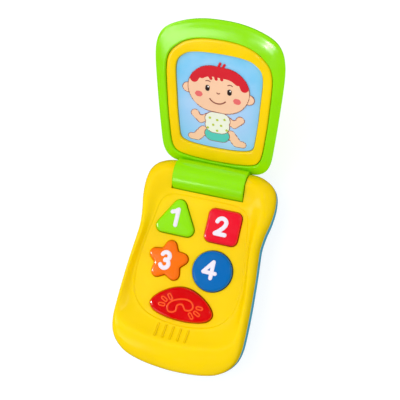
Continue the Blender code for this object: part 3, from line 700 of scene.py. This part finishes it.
def pocket(name):
    floor = AXIS_Z - POCKET_R
    front = arc((AXIS_Y, AXIS_Z), POCKET_R, 90, 270, 72)
    profile = [*front, (76, floor), (76, 46), (AXIS_Y, 46)]
    return prism_x(name, profile, -POCKET_HALF, POCKET_HALF)


def key_hole(outline, at):
    """A hole through the deck with a softened upper edge."""
    hole = shift(inset(outline, -HOLE_GAP), at)
    steps = [(0, 24), (0, DECK_Z - HOLE_EDGE)]
    for degrees in (30, 60):
        out = HOLE_EDGE * (1 - cos(radians(degrees)))
        up = HOLE_EDGE * sin(radians(degrees))
        steps.append((-out, DECK_Z - HOLE_EDGE + up))
    steps += [(-HOLE_EDGE, DECK_Z + 0.02), (-HOLE_EDGE, 40)]
    return loft("key_hole", stack(hole, *steps))


def slot_loop(x):
    half = SLOT_WIDTH / 2
    return arc((x, SLOT_Y[1]), half, 0, 180, 8) + arc((x, SLOT_Y[0]), half, 180, 360, 8)


def groove(x, height):
    """A shallow rounded groove along Y that follows the slope and tapers at both ends."""
    rings = []
    low = SLOT_Y[0] - 0.6
    high = SLOT_Y[1] + 0.6
    stations = 36
    for i in range(stations + 1):
        y = low + (high - low) * i / stations
        near = min(y - low, high - y)
        fade = sqrt(max(1 - (1 - min(near / 1.3, 1)) ** 2, 0.01))
        half = GROOVE_WIDTH / 2 * fade
        z = height(x, y)
        ring = [(x - half * 1.15, y, z + 3)]
        for k in range(13):
            angle = pi * k / 12
            side = -cos(angle)
            deep = GROOVE_DEPTH * fade * sin(angle) ** 1.3
            lift = 0.25 if k in (0, 12) else 0
            ring.append((x + half * side, y, z - deep + lift))
        ring.append((x + half * 1.15, y, z + 3))
        rings.append(ring[::-1])
    return loft("groove", rings)


def make_front_shell(keys):
    seam = smooth_loop(SEAM)
    crest = smooth_loop(CREST)
    deck = smooth_loop(DECK)
    low = SEAM_Z + SEAM_GAP / 2
    rings = [level(inset(seam, SEAM_EDGE), low)]
    rings += wall_rings(seam, crest, low + SEAM_EDGE)
    ridge = len(rings) - 1
    rings += ramp_rings(crest, inset(deck, -0.8), DECK_Z + PANEL_STEP)
    rings = soften(rings, ridge, 5, 4)
    edge = ((-0.5, 0.95), (-0.25, 0.8), (0.05, 0.45), (0.3, 0.14), (0.5, 0.03), (0.8, 0))
    rings += stack(deck, *((into, DECK_Z + PANEL_STEP * up) for into, up in edge))
    shell = loft("front_case", rings)
    height = surface_under(shell)
    grooves = [groove(x, height) for x in SLOT_X]

    inner_crest = [(x, y, z - 3.2, stop) for x, y, z, stop in inset(crest, 1.2)]
    coarse = [i / 6 for i in range(7)]
    rings = [level(inset(seam, WALL), low - 6)]
    rings += wall_rings(inset(seam, WALL), inner_crest, low - 0.5, coarse)
    rings += ramp_rings(inner_crest, inset(deck, -1), DECK_Z - WALL, RAMP_STEPS[1::2])
    cavity = loft("front_cavity", rings)
    reach = 12.5
    front = arc((AXIS_Y, AXIS_Z), reach, 180, 270, 24)
    profile = [(64, 45), (AXIS_Y - reach, 45), *front, (64, AXIS_Z - reach)]
    keep = [prism_x("keep_hinge", profile, -25.6, 25.6)]
    keep += [cylinder("keep_boss", at, 3, 0, 45) for at in CASE_SCREWS]
    keep += [cylinder("keep_post", at, 2.4, BOARD_TOP + 0.1, 45) for at in BOARD_SCREWS]
    seat = arc((0, SPEAKER_Y), 14.8, 160, 380, 40) + arc((0, SPEAKER_Y), 13.4, 380, 160, 40)
    keep.append(prism("keep_speaker_seat", seat, 22.5, 45))
    carve(cavity, joined("front_keep", keep))
    carve(shell, cavity)
    carve(shell, box("trough_floor", (-25, 48.4, 13.7), (25, 63.6, 18.6)), "UNION")
    carve(shell, pocket("front_pocket"))

    holes = [key_hole(outline, at) for outline, at in keys]
    holes += [cylinder("pilot", at, 1, 10, 26.5) for at in CASE_SCREWS]
    holes += [cylinder("pilot", at, 0.85, 18, 26.2) for at in BOARD_SCREWS]
    for side in (-1, 1):
        ends = sorted((side * 22, side * 30.5))
        holes.append(prism_x("pin_bore", circle((AXIS_Y, AXIS_Z), PIN_R + 0.15, 48), *ends))
    carve(shell, joined("front_holes", holes))
    carve(shell, joined("grooves", grooves))
    carve(shell, joined("slots", [prism("slot", slot_loop(x), 25, 45) for x in SLOT_X]))
    dress(shell, "yellow_abs", "phone", "front_shell")


def make_rear_shell():
    seam = smooth_loop(SEAM)
    high = SEAM_Z - SEAM_GAP / 2
    insets = [row[3] for row in seam]
    tops = [REAR_WALL_TOP + REAR_WALL_RISE * (depth - NARROWEST_INSET) for depth in insets]

    def rings_for(base, depth_in, floor, count):
        rings = []
        for i in range(count + 1):
            angle = radians(90 * (1 - i / count))
            across = 1 - max(cos(angle), 0) ** 0.9
            down = sin(angle) ** 0.9
            ring = inset(base, [depth * across for depth in depth_in])
            rings.append([(x, y, top - (top - floor) * down) for (x, y, *_), top in zip(ring, tops)])
        return rings

    outer = rings_for(seam, insets, 0, 16)
    outer += [level(seam, high - SEAM_EDGE), level(inset(seam, SEAM_EDGE), high)]
    shell = loft("rear_case", outer)
    inner = inset(seam, WALL)
    rings = rings_for(inner, [depth - 0.6 for depth in insets], WALL, 6)
    rings.append(level(inner, high + 4))
    cavity = loft("rear_cavity", rings)
    keep = [cylinder("keep_boss", at, 4.3, -2, 30) for at in CASE_SCREWS]
    keep += [
        box("keep_bay", (-14, -27.5, -1), (14, 27.5, 14.7)),
        box("keep_door_frame", (-17.2, -31, -2), (17.2, 38.6, 3.4)),
        cylinder("keep_door_boss", (0, DOOR_SCREW_Y), 3.4, -1, 12),
        box("keep_switch", (-10.5, SWITCH_Y - 6.5, -2), (10.5, SWITCH_Y + 6, 4)),
    ]
    for piece in keep:
        carve(cavity, piece)
    carve(shell, cavity)
    carve(shell, pocket("rear_pocket"))

    steps = [(3.1, -2), (3.1, 10), (1.5, 10), (1.5, 20)]
    holes = [lathe("screw_hole", steps, at=at, count=64) for at in CASE_SCREWS]
    seat = shift(rounded_box(DOOR_HALF[0] + 0.3, DOOR_HALF[1] + 0.3, 1.5), DOOR_AT)
    seat_rings = stack(seat, (-0.4, -2), (-0.4, -0.02), (0, 0.38), (0, 1.9))
    switch = shift(rounded_box(8.5, 4.2, 1.6), (0, SWITCH_Y))
    holes.append(cylinder("door_pilot", (0, DOOR_SCREW_Y), 1, 1, 10.5))
    holes.append(prism("switch_seat", switch, -2, 1.6))
    for x in (-CELL_X, CELL_X):
        holes.append(box("tab_slot", (x - 1.6, 24.5, 12), (x + 1.6, 25.4, 16)))
    carve(shell, box("bay", (-12, -25.5, 1), (12, 25.5, 13.2)))
    carve(shell, loft("door_seat", seat_rings))
    carve(shell, box("switch_slot", (-4.9, SWITCH_Y - 2.1, 1), (4.9, SWITCH_Y + 2.1, 6)))
    carve(shell, joined("rear_holes", holes))
    dress(shell, "cyan_abs", "phone", "rear_shell")


def make_door():
    """The battery door, with soft edges, a sunk screw and grip grooves."""
    loop = shift(rounded_box(*DOOR_HALF, 1.2), DOOR_AT)
    door = loft("door", stack(loop, (0.35, 0), (0.1, 0.1), (0, 0.35), (0, DOOR_THICK)))
    steps = [(3.3, -1), (3.3, 0), (2.9, 0.3), (2.9, 1), (1.5, 1), (1.5, 3)]
    cuts = [lathe("door_hole", steps, at=(0, DOOR_SCREW_Y), count=64)]
    for i in range(5):
        y = DOOR_AT[1] - DOOR_HALF[1] + 5 + 2.2 * i
        bar = shift(rounded_box(9 - 0.9 * i, 0.55, 0.5, 8), (0, y))
        cuts.append(loft("grip", stack(bar, (-0.25, -0.5), (-0.25, -0.01), (0, 0.3), (0.25, 0.5))))
    carve(door, joined("door_cuts", cuts))
    dress(door, "cyan_abs", "phone", "battery_door")


def make_screw(name, node_name, at, ends, head_r, head):
    """A pan-head screw driven upwards, with a cross in its head. Its ends are the heights of its
    head's lowest point and its tip, and head is the head's thickness."""
    head_z, tip_z = ends
    shaft_r = 0.9
    profile = [(0.3, head_z), (head_r * 0.55, head_z + 0.03)]
    for i in range(7):
        angle = radians(90 * i / 6)
        out = head_r * (0.62 + 0.38 * sin(angle))
        profile.append((out, head_z + 0.05 + head * 0.45 * (1 - cos(angle))))
    profile += [(head_r, head_z + head), (shaft_r, head_z + head)]
    pitch = 0.9
    low = head_z + head + 0.3
    turns = int((tip_z - 1.6 - low) / pitch)
    for i in range(turns):
        z = low + pitch * i
        profile += [(shaft_r * 0.86, z), (shaft_r, z + pitch * 0.45), (shaft_r * 0.86, z + pitch * 0.9)]
    profile += [(shaft_r * 0.8, tip_z - 1.2), (0.1, tip_z)]
    screw = lathe(name, profile, at=at, count=48)
    long = head_r * 0.58
    thin = head_r * 0.12
    cross = [(long, thin), (thin, thin), (thin, long), (-thin, long), (-thin, thin), (-long, thin)]
    cross += [(-x, -y) for x, y in cross]
    sunk = [level(shift(cross, at), head_z - 1), level(shift(cross, at), head_z + head * 0.2)]
    sunk.append(level(shift(shrink(cross, 0.45, (0, 0)), at), head_z + head * 0.7))
    carve(screw, loft("cross", sunk))
    dress(screw, "steel", "phone", node_name)


def make_switch_knob():
    x = -SWITCH_TRAVEL / 2
    tip = rounded_box(2.4, 1.8, 0.5, 6)
    plate = [(-6, -3), (6, -3), (6, 3), (-6, 3)]
    at = (x, SWITCH_Y)
    knob = loft("switch_grip", stack(shift(tip, at), (0.25, 0.4), (0, 0.65), (0, 4.5)))
    carve(knob, prism("switch_plate", shift(plate, at), 4.3, 5.4), "UNION")
    cuts = []
    for i in (-1, 0, 1):
        bar = shift(rounded_box(0.3, 2.4, 0.28, 6), (x + 1.3 * i, SWITCH_Y))
        cuts.append(prism("ridge", bar, -0.5, 0.75))
    carve(knob, joined("ridges", cuts))
    dress(knob, "black_plastic", "switch", "switch_knob")


# ---- Keys ----


def key_cap(name, outline, at, crown):
    """A hollow cap with a rounded top edge, a flange under the deck and a plunger."""
    cap = shift(outline, at)
    inner = inset(cap, KEY_WALL)
    plunger = []
    for row in inner:
        angle = atan2(row[1] - at[1], row[0] - at[0])
        plunger.append((at[0] + 2.2 * cos(angle), at[1] + 2.2 * sin(angle)))
    ceiling = KEY_TOP - 2
    rings = [level(plunger, FLANGE_BOTTOM), level(plunger, ceiling)]
    rings += [level(inner, ceiling), level(inner, FLANGE_BOTTOM)]
    flange = inset(cap, -FLANGE_LIP)
    rings += [level(flange, FLANGE_BOTTOM), level(flange, FLANGE_TOP), level(cap, FLANGE_TOP)]
    for i in range(13):
        angle = radians(90 * i / 12)
        into = KEY_EDGE * (1 - cos(angle))
        rings.append(level(inset(cap, into), KEY_TOP - KEY_DROP * (1 - sin(angle))))
    face = inset(cap, KEY_EDGE)
    for i in range(1, 12):
        factor = 1 - i / 12
        rings.append(level(shrink(face, factor, at), KEY_TOP + crown * (1 - factor**2)))
    return loft(name, rings)


# Each digit's key, stroke radius, place and strokes
DIGITS = {
    "key_1": (1.38, (-15.6, 29.1), [[(-2.9, 3), (-1, 3.6), (0.7, 4.9), (0.7, -4.9)]]),
    "key_2": (1.38, (13.7, 29.2), [
        arc((-0.1, 2.1), 2.9, 168, 8, 14) + [(2.5, 0.9), (1.3, -0.9), (-0.4, -2.7), (-3, -4.8)],
        [(-3, -4.8), (3.2, -4.8)],
    ]),
    "key_3": (1.38, (-16, 1.7), [
        arc((-0.1, 2.45), 2.45, 158, -90, 14) + arc((-0.1, -2.25), 2.65, 85, -158, 16),
    ]),
    "key_4": (1.25, (12.9, 2), [[(1.3, -5.1), (1.3, 5), (-3.9, -1.9), (3.6, -1.9)]]),
}


def digit(body, height):
    radius, at, lines = DIGITS[body]
    strokes = [(radius, shift(line, at)) for line in lines]
    made = relief(f"digit_{body[-1]}", strokes, height, 0.42, 0.5, 0.2)
    dress(made, "digit_white", body, sharp=75)


HANDSET = [
    (0, 1.2), (1.7, 0.7), (2.3, -0.9), (3, -2.5), (5.2, -3.1), (7.4, -2.4), (8.1, -0.6), (7.2, 1.9),
    (4.3, 3.7), (0, 4.3),
]
LINE = 0.6


def call_icon(height):
    """A plain handset outline with three capsule marks at each end."""
    outline = turn(smooth_loop(HANDSET, 4), 17, (CALL_AT[0] - 0.3, CALL_AT[1] - 1))
    strokes = [(LINE, outline + outline[:1])]
    marks = (((-7.6, 3.4), 132), ((-10.9, 1.3), 156), ((-11.8, -2.2), 180))
    pivot = (0, -0.9)
    for (x, y), degrees in marks:
        for sign in (1, -1):
            centre = (sign * x, pivot[1] + sign * (y - pivot[1]))
            ends = arc((1.2, 0), 0.85, -90, 90, 6) + arc((-1.2, 0), 0.85, 90, 270, 6)
            capsule = turn(ends, degrees, (CALL_AT[0] + centre[0], CALL_AT[1] + centre[1]))
            strokes.append((LINE * 0.85, capsule + capsule[:1]))
    made = relief("call_icon", strokes, height, 0.4, 0.4, 0.17)
    dress(made, "red_lens", "key_call", material=MATERIALS["lens_line"], sharp=75)


def make_dome(key, at, node_name):
    """A rubber dome that stands under a key."""
    foot = BOARD_TOP + 0.02
    outer = [(3.6, foot), (3.6, foot + 0.5), (3, foot + 0.6), (2, DOME_TOP)]
    inner = [(0.6, DOME_TOP), (0.6, DOME_TOP - 1), (1.5, DOME_TOP - 1.2), (2.4, foot)]
    name = key.replace("key", "dome")
    dome = lathe(name, outer + inner, at=at, count=48, closed=True)
    dress(dome, "dome_rubber", "phone", node_name)
    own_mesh(dome)


def make_keys():
    lens = smooth_loop(CALL_OUTLINE, 8)
    keys = [
        ("key_triangle", "button_1_triangle", "key_1", rounded_triangle(), TRIANGLE_AT, "green_abs", 0.5),
        ("key_square", "button_2_square", "key_2", rounded_box(10.5, 10.5, 3.8), SQUARE_AT, "red_key", 0.5),
        ("key_star", "button_3_star", "key_3", star(), STAR_AT, "orange_key", 0.5),
        ("key_circle", "button_4_circle", "key_4", circle((0, 0), 12.5), CIRCLE_AT, "blue_key", 0.5),
        ("key_lens", "button_call", "key_call", lens, CALL_AT, "red_lens", 0.2),
    ]
    for name, cad, body, outline, at, slot, crown in keys:
        cap = key_cap(name, outline, at, crown)
        height = surface_under(cap)
        dress(cap, slot, body, cad)
        make_dome(body, at, f"rubber_dome_{body.removeprefix('key_')}")
        if body == "key_call":
            call_icon(height)
        else:
            digit(body, height)
    return [(outline, at) for _, _, _, outline, at, _, _ in keys]


# ---- Lid ----

# How deep the lid splits into frame and cover, and the frame's crown: how far in from the rim
# towards the bezel, and how deep
LID_SPLIT = 3.6
LID_CROWN = (
    (0.02, 2.6), (0, 1.8), (0.03, 1.45), (0.12, 1.1), (0.27, 0.8), (0.47, 0.4), (0.68, 0.12),
    (0.86, -0.03),
)


def lid_loop(half):
    return smooth_loop([(x, y + LID_Y0) for x, y in half])


def lid_edge():
    """The lid's outline, drawn in slightly so that its fine curves stay inside the CAD's box."""
    return inset(lid_loop(LID_RIM), 0.2)


def lid_level(loop, depth):
    return level(loop, LID_FACE - depth)


def lid_stack(loop, *steps):
    """Rings from one loop. Each step says how far in its ring lies, and how deep."""
    return [lid_level(inset(loop, by), depth) for by, depth in steps]


def round_rings(rings, per=4):
    """Passes a smooth surface through a stack of rings."""
    columns = [spline(list(column), per, closed=False) for column in zip(*rings)]
    return [list(ring) for ring in zip(*columns)]


def on_lid(obj, slot, *nodes, **finish):
    """Turns a piece that is made flat to the open lid's place, and dresses it."""
    obj.data.transform(LID_PLACE)
    return dress(obj, slot, "lid", *nodes, **finish)


def between(outer, inner, share):
    pairs = zip(outer, inner)
    return [tuple(a[k] + (b[k] - a[k]) * share for k in (0, 1)) for a, b in pairs]


def make_lid_frame():
    rim = lid_edge()
    seat = inset(lid_loop(LID_BEZEL), -0.15)
    rings = lid_stack(inset(seat, -1.6), (0, 4.6), (0, 2.2))
    rings += lid_stack(rim, (2, 2.4), (2, LID_SPLIT), (0.7, LID_SPLIT))
    crown = lid_stack(rim, (0.45, LID_SPLIT - 0.2))
    crown += [lid_level(between(rim, seat, share), depth) for share, depth in LID_CROWN]
    crown += lid_stack(seat, (-0.6, 0), (-0.2, 0.4), (0, 1))
    rings += round_rings(crown) + [lid_level(seat, 3)]
    shell = loft("lid_inner", rings)

    end = BARREL_HALF
    bore = PIN_R + 0.1
    bends = [radians(15 * i) for i in range(7)]
    corner = [(BARREL_R - 0.8 + 0.8 * sin(a), 0.8 - 0.8 * cos(a)) for a in bends]
    barrel = [(bore, -end)] + [(radius, z - end) for radius, z in corner]
    barrel += [(radius, end - z) for radius, z in reversed(corner)]
    barrel += [(bore, end), (bore, end - 2.3), (8.2, end - 2.3)]
    barrel += [(8.2, 2.3 - end), (bore, 2.3 - end)]
    carve(shell, lathe("lid_barrel", barrel, axis="X", count=120, closed=True), "UNION")
    neck = [(5, -9), (0, -9.3), (-4, -8.1), (-4.7, -9.6), (-0.34, -13.95)]
    neck += [(1.8, -14), (3.2, -13), (3.2, -10.6), (5, -10.6)]
    carve(shell, prism_x("lid_neck", neck, -22.4, 22.4), "UNION")
    ledge = LID_FACE - 4.1
    steps = [(0.95, -14), (0.95, ledge), (2.1, ledge), (2.1, LID_FACE + 1)]
    holes = [lathe("lid_hole", steps, at=at, count=32) for at in LID_SCREWS]
    carve(shell, joined("lid_holes", holes))
    return on_lid(shell, "green_abs", "lid_frame")


def make_lid_cover():
    rim = lid_edge()
    lip = LID_SPLIT + 0.1
    back = [lid_level(shrink(rim, size), depth) for size, depth in ((0.15, 10), (0.4, 9.9), (0.7, 9.6))]
    back += lid_stack(rim, (5, 8.8), (2.9, 7.5), (1.5, 5.8), (0.85, 4.6), (0.55, LID_SPLIT + 0.3))
    back = round_rings(back, 3)
    back += lid_stack(rim, (0.75, lip), (2.1, lip), (2.7, 5.3), (3.8, 6.5), (5.6, 7.2))
    back += [lid_level(shrink(rim, size), depth) for size, depth in ((0.7, 7.8), (0.4, 8.1))]
    cover = loft("lid_back", back)
    bosses = [cylinder("boss", at, 2.2, LID_FACE - 8.3, LID_FACE - 4.8) for at in LID_SCREWS]
    carve(cover, joined("cover_bosses", bosses), "UNION")
    pilots = [cylinder("pilot", at, 0.7, LID_FACE - 7.6, LID_FACE) for at in LID_SCREWS]
    carve(cover, joined("cover_pilots", pilots))
    on_lid(cover, "green_abs", "lid_cover")


def make_bezel():
    outer = inset(lid_loop(LID_BEZEL), 0.15)
    window = lid_loop(LID_WINDOW)
    crown = lid_stack(outer, (0, 1.5), (0.15, 0.95), (0.7, 0.6), (1.5, 0.45))
    crown.append(lid_level(between(outer, window, 0.7), 0.6))
    crown += lid_stack(window, (-0.7, 0.75), (-0.2, 1), (0, 1.5))
    rings = [lid_level(window, 2.9), lid_level(outer, 2.9)] + round_rings(crown)
    return on_lid(loft("bezel", rings, closed=True), "yellow_abs", "picture_bezel")


# ---- Picture ----

CARD_TOP = 2.35
HEAD_TILT = -3
HEAD_SHIFT = (-2.5, 0.1)
INK = 0.035

HAIR_RED = (220, 8, 34)
SKIN = (253, 206, 170)
BROWN = (150, 74, 60)
SHIRT = (240, 244, 226)
TEAL = (84, 204, 190)
LIME = (186, 206, 40)
CHEEK = (240, 108, 108)
EYE = (44, 26, 26)
WHITE = (255, 255, 255)
# Olive for a thin line on the card round the window's edge: a painted shadow of the bezel's inner wall, not print
WINDOW_SHADOW = (128, 142, 70)


def both(radius, *line):
    """A stroke on the right and its mirror image on the left."""
    return [(radius, list(line)), (radius, [(-x, y) for x, y in line])]


def picture_layers():
    """A plain smiling baby sitting down, from the lowest layer up: name, colour, whether it has
    a drawn edge, and its thick strokes in lid widths and lengths."""
    head = [(15, [(-3.8, 49), (3.8, 49)])]
    ears = both(3.1, (19, 46.8))
    legs = both(2.8, (4.6, 17.4), (8.8, 19.4), (12.6, 14.4))
    feet = both(2.1, (13, 13.8), (16.4, 13.8))
    arms = both(2.2, (6.4, 29.4), (10.6, 26.8), (13.4, 29.4))
    hands = both(2.5, (14.2, 30.6))
    chest = [(4.8, [(-3, 28.6), (3, 28.6)]), (5.2, [(-2.4, 24.4), (2.4, 24.4)])]
    pants = [(4.6, [(-3.2, 17.8), (3.2, 17.8)])]
    dots = [(0.85, [at]) for at in ((-4.8, 29.2), (-0.2, 28.4), (4.4, 29.4), (-2.6, 24.6), (2.4, 24.8))]
    dots += [(0.85, [at]) for at in ((-6, 22), (0, 20.8), (6, 22.2))]
    crown = arc((3.8, 49), 12.6, 22, 90, 14) + arc((-3.8, 49), 12.6, 90, 158, 14)
    fringe = arc((3.8, 48), 11.2, 50, 90, 8) + arc((-3.8, 48), 11.2, 90, 130, 8)
    hair = [(2.6, crown), (2, fringe), (1, [(-6.8, 58.2), (-5.2, 55.8)])]
    hair += [(1, line) for line in ([(-3, 58.6), (-2, 56)], [(1, 58.8), (1.4, 56.4)])]
    hair += [(0.8, line) for line in ([(-1.6, 63), (-0.4, 66.6)], [(1, 63.4), (2.2, 66.2)])]
    mouth = [(0.42, arc((0, 45.8), 6, 217, 323, 16))]
    brows = both(0.3, *arc((6.8, 51.6), 2.4, 55, 125, 6))
    nose = [(0.36, arc((0, 47.6), 1, 215, 325, 6))]
    eyes = both(1.35, (6.8, 48.4), (6.8, 49.8))
    shine = [(0.48, [(7.2, 50.1)]), (0.48, [(-6.4, 50.1)])]
    cheeks = both(1.9, (11.4, 44), (12.4, 44))
    tilted = (ears, head, hair, cheeks, mouth, brows, nose, eyes, shine)
    ears, head, hair, cheeks, mouth, brows, nose, eyes, shine = [
        [(radius, turn(line, HEAD_TILT, HEAD_SHIFT)) for radius, line in strokes] for strokes in tilted
    ]
    return [
        ("legs", SKIN, True, legs + feet),
        ("arms", SKIN, True, arms + hands),
        ("pants", TEAL, True, pants),
        ("shirt", SHIRT, True, chest),
        ("dots", LIME, False, dots),
        ("ears", SKIN, True, ears),
        ("head", SKIN, True, head),
        ("hair", HAIR_RED, False, hair),
        ("cheeks", CHEEK, False, cheeks),
        ("lines", BROWN, False, mouth + brows + nose),
        ("eyes", EYE, False, eyes),
        ("shine", WHITE, False, shine),
    ]


def make_picture():
    window = lid_loop(LID_WINDOW)
    card = loft("card", lid_stack(window, (0.2, 2.95), (0.2, CARD_TOP)))
    on_lid(card, "picture", "picture_card")
    # A thin olive ring on the card just inside the window's edge: painted shadow of the bezel's inner wall and the
    # gap there
    low = CARD_TOP + 0.02
    high = CARD_TOP - INK
    strip = lid_stack(window, (0.1, low), (0.1, high), (0.42, high), (0.42, low))
    window_shadow_ring = loft("print_border", strip, closed=True)
    window_shadow_ink = plastic("painted_window_shadow_ink", WINDOW_SHADOW, 0.4, 0.08, 0.1)
    on_lid(window_shadow_ring, "picture", material=window_shadow_ink, sharp=60)
    depth = CARD_TOP
    inks = {}
    for name, rgb, outlined, strokes in picture_layers():
        placed = [(r, [(x, y + LID_Y0) for x, y in line]) for r, line in strokes]
        sheets = [(f"print_{name}", rgb, placed)]
        if outlined:
            wider = [(radius + 0.38, line) for radius, line in placed]
            sheets.insert(0, (f"print_{name}_edge", BROWN, wider))
        for piece, colour, lines in sheets:
            depth -= INK
            top = LID_FACE - depth
            finest = min(radius for radius, _ in lines)
            spacing = min(max(finest / 4, 0.16), 0.5)
            made = relief(piece, lines, lambda x, y: top - INK, INK, 0.02, spacing, INK * 0.9)
            if colour not in inks:
                inks[colour] = plastic(f"ink_{len(inks)}", colour, 0.36, 0.05, 0.1)
            on_lid(made, "picture", material=inks[colour], sharp=60)


# ---- Stage ----


def make_floor():
    """A pale floor, wide enough to fill most views."""
    cells = 24
    row = cells + 1
    ticks = [FLOOR_HALF / MM * (2 * i / cells - 1) for i in range(row)]
    corners = [row * i + j for i in range(cells) for j in range(cells)]
    faces = [(a, a + row, a + row + 1, a + 1) for a in corners]
    floor = add_object("floor", [(x, y, FLOOR_Z) for x in ticks for y in ticks], faces)
    paper = plastic("floor", (160, 160, 160), 0.8, 0.01, 0.1, 0)
    shader = paper.node_tree.nodes["Principled BSDF"]
    feed(shader, {"Emission Color": (1, 1, 1, 1), "Emission Strength": FLOOR_GLOW})
    floor.data.materials.append(paper)
    floor.visible_glossy = False


def area_light(name, towards, distance, target, size, radiance, diffuse=True):
    """A soft box that faces the target. A radiance of 1 looks as bright as white paper."""
    light = bpy.data.lights.new(name, "AREA")
    light.shape = "RECTANGLE"
    light.size, light.size_y = size
    light.energy = pi * size[0] * size[1] * radiance
    obj = place(name, light)
    aim = Vector(towards).normalized()
    obj.location = Vector(target) + aim * distance
    obj.rotation_euler = aim.to_track_quat("Z", "Y").to_euler()
    obj.visible_diffuse = diffuse
    obj.visible_glossy = not diffuse
    return obj


def make_world():
    """Even white light, stronger from above. Gloss doesn't mirror it, so the colours stay deep."""
    world = bpy.data.worlds.new("studio")
    bpy.context.scene.world = world
    world.cycles_visibility.glossy = False
    world.use_nodes = True
    tree = world.node_tree
    coords = node(tree, "ShaderNodeTexCoord").outputs["Generated"]
    split = node(tree, "ShaderNodeSeparateXYZ", {0: coords})
    sky = remap(tree, split.outputs["Z"], WORLD_LOW, WORLD_HIGH, -0.2, 0.9)
    feed(tree.nodes["Background"], {"Color": (1, 1, 1, 1), "Strength": sky})


def only_on(light, pieces):
    """Limits a light to some pieces."""
    group = bpy.data.collections.new(f"{light.name}_pieces")
    for piece in pieces:
        group.objects.link(piece)
    light.light_linking.receiver_collection = group


def make_lights(lid_pieces, key_pieces):
    """A broad key from the upper left, soft fills from the sides, and boxes that only show as
    highlights, some of them on the lid or the keys alone."""
    body = (0, 0, 0.02)
    lid = (0, AXIS_Y * MM + 0.04, AXIS_Z * MM + 0.04)
    area_light("key_box", (-0.45, 0.05, 0.9), 1.2, (0, 0, 0), (0.7, 0.7), 1.62)
    area_light("left_fill", (-0.95, 0.1, 0.3), 1, body, (0.5, 0.5), 0.9)
    area_light("right_fill", (0.9, 0.25, 0.35), 1, body, (0.5, 0.5), 0.6)
    shines = (
        ("left_shine", (-0.69, -0.36, 0.63), lid, (0.26, 0.4), 2.2, None),
        ("front_shine", (-0.455, -0.762, 0.462), lid, (0.3, 0.2), 1.6, None),
        ("lid_glow", (-0.45, -0.77, 0.47), lid, (0.4, 0.3), 4, lid_pieces),
        ("lid_spot", (0.01, -0.8, 0.59), lid, (0.07, 0.07), 45, lid_pieces),
        ("right_shine", (0.62, 0.26, 0.72), lid, (0.2, 0.2), 1.4, None),
        ("key_glint", (-0.9, -0.1, 0.42), (0, 0, 0.03), (0.2, 0.5), 30, key_pieces),
    )
    for name, towards, target, size, radiance, pieces in shines:
        light = area_light(name, towards, 0.9, target, size, radiance, diffuse=False)
        if pieces:
            only_on(light, pieces)


def make_camera():
    data = bpy.data.cameras.new("camera")
    data.lens = 72.16
    data.clip_start = 0.01
    camera = place("camera", data)
    right = Vector((0.951462, 0.224766, -0.210245))
    up = Vector((-0.197228, 0.969705, 0.144122))
    turned = Matrix((right, up, right.cross(up))).transposed().to_4x4()
    camera.matrix_world = Matrix.Translation((0.1143, -0.00494, 0.5115)) @ turned
    bpy.context.scene.camera = camera


GLINTING_KEYS = ("key_triangle", "key_square", "key_star", "key_lens")


def main():
    make_camera()
    slots = {row["node"]: row["material_slot"] for row in frame["record"]["subparts"]}
    for name, obj in frame["nodes"].items():
        obj.data.materials.clear()
        obj.data.materials.append(MATERIALS[slots[name]])
    holes = make_keys()
    make_front_shell(holes)
    make_rear_shell()
    make_door()
    make_switch_knob()
    for i, at in enumerate(CASE_SCREWS):
        make_screw(f"back_screw_{i + 1}", f"case_screw_{i + 1}", at, (8.1, 25), 2.5, 1.8)
    make_screw("battery_screw", "door_screw", (0, DOOR_SCREW_Y), (0.1, 9.5), 2.6, 0.85)
    lid_pieces = [make_lid_frame(), make_bezel()]
    make_lid_cover()
    make_picture()
    make_floor()
    make_world()
    make_lights(lid_pieces, [bpy.data.objects[name] for name in GLINTING_KEYS])
    bpy.context.scene.view_settings.view_transform = "Standard"


main()
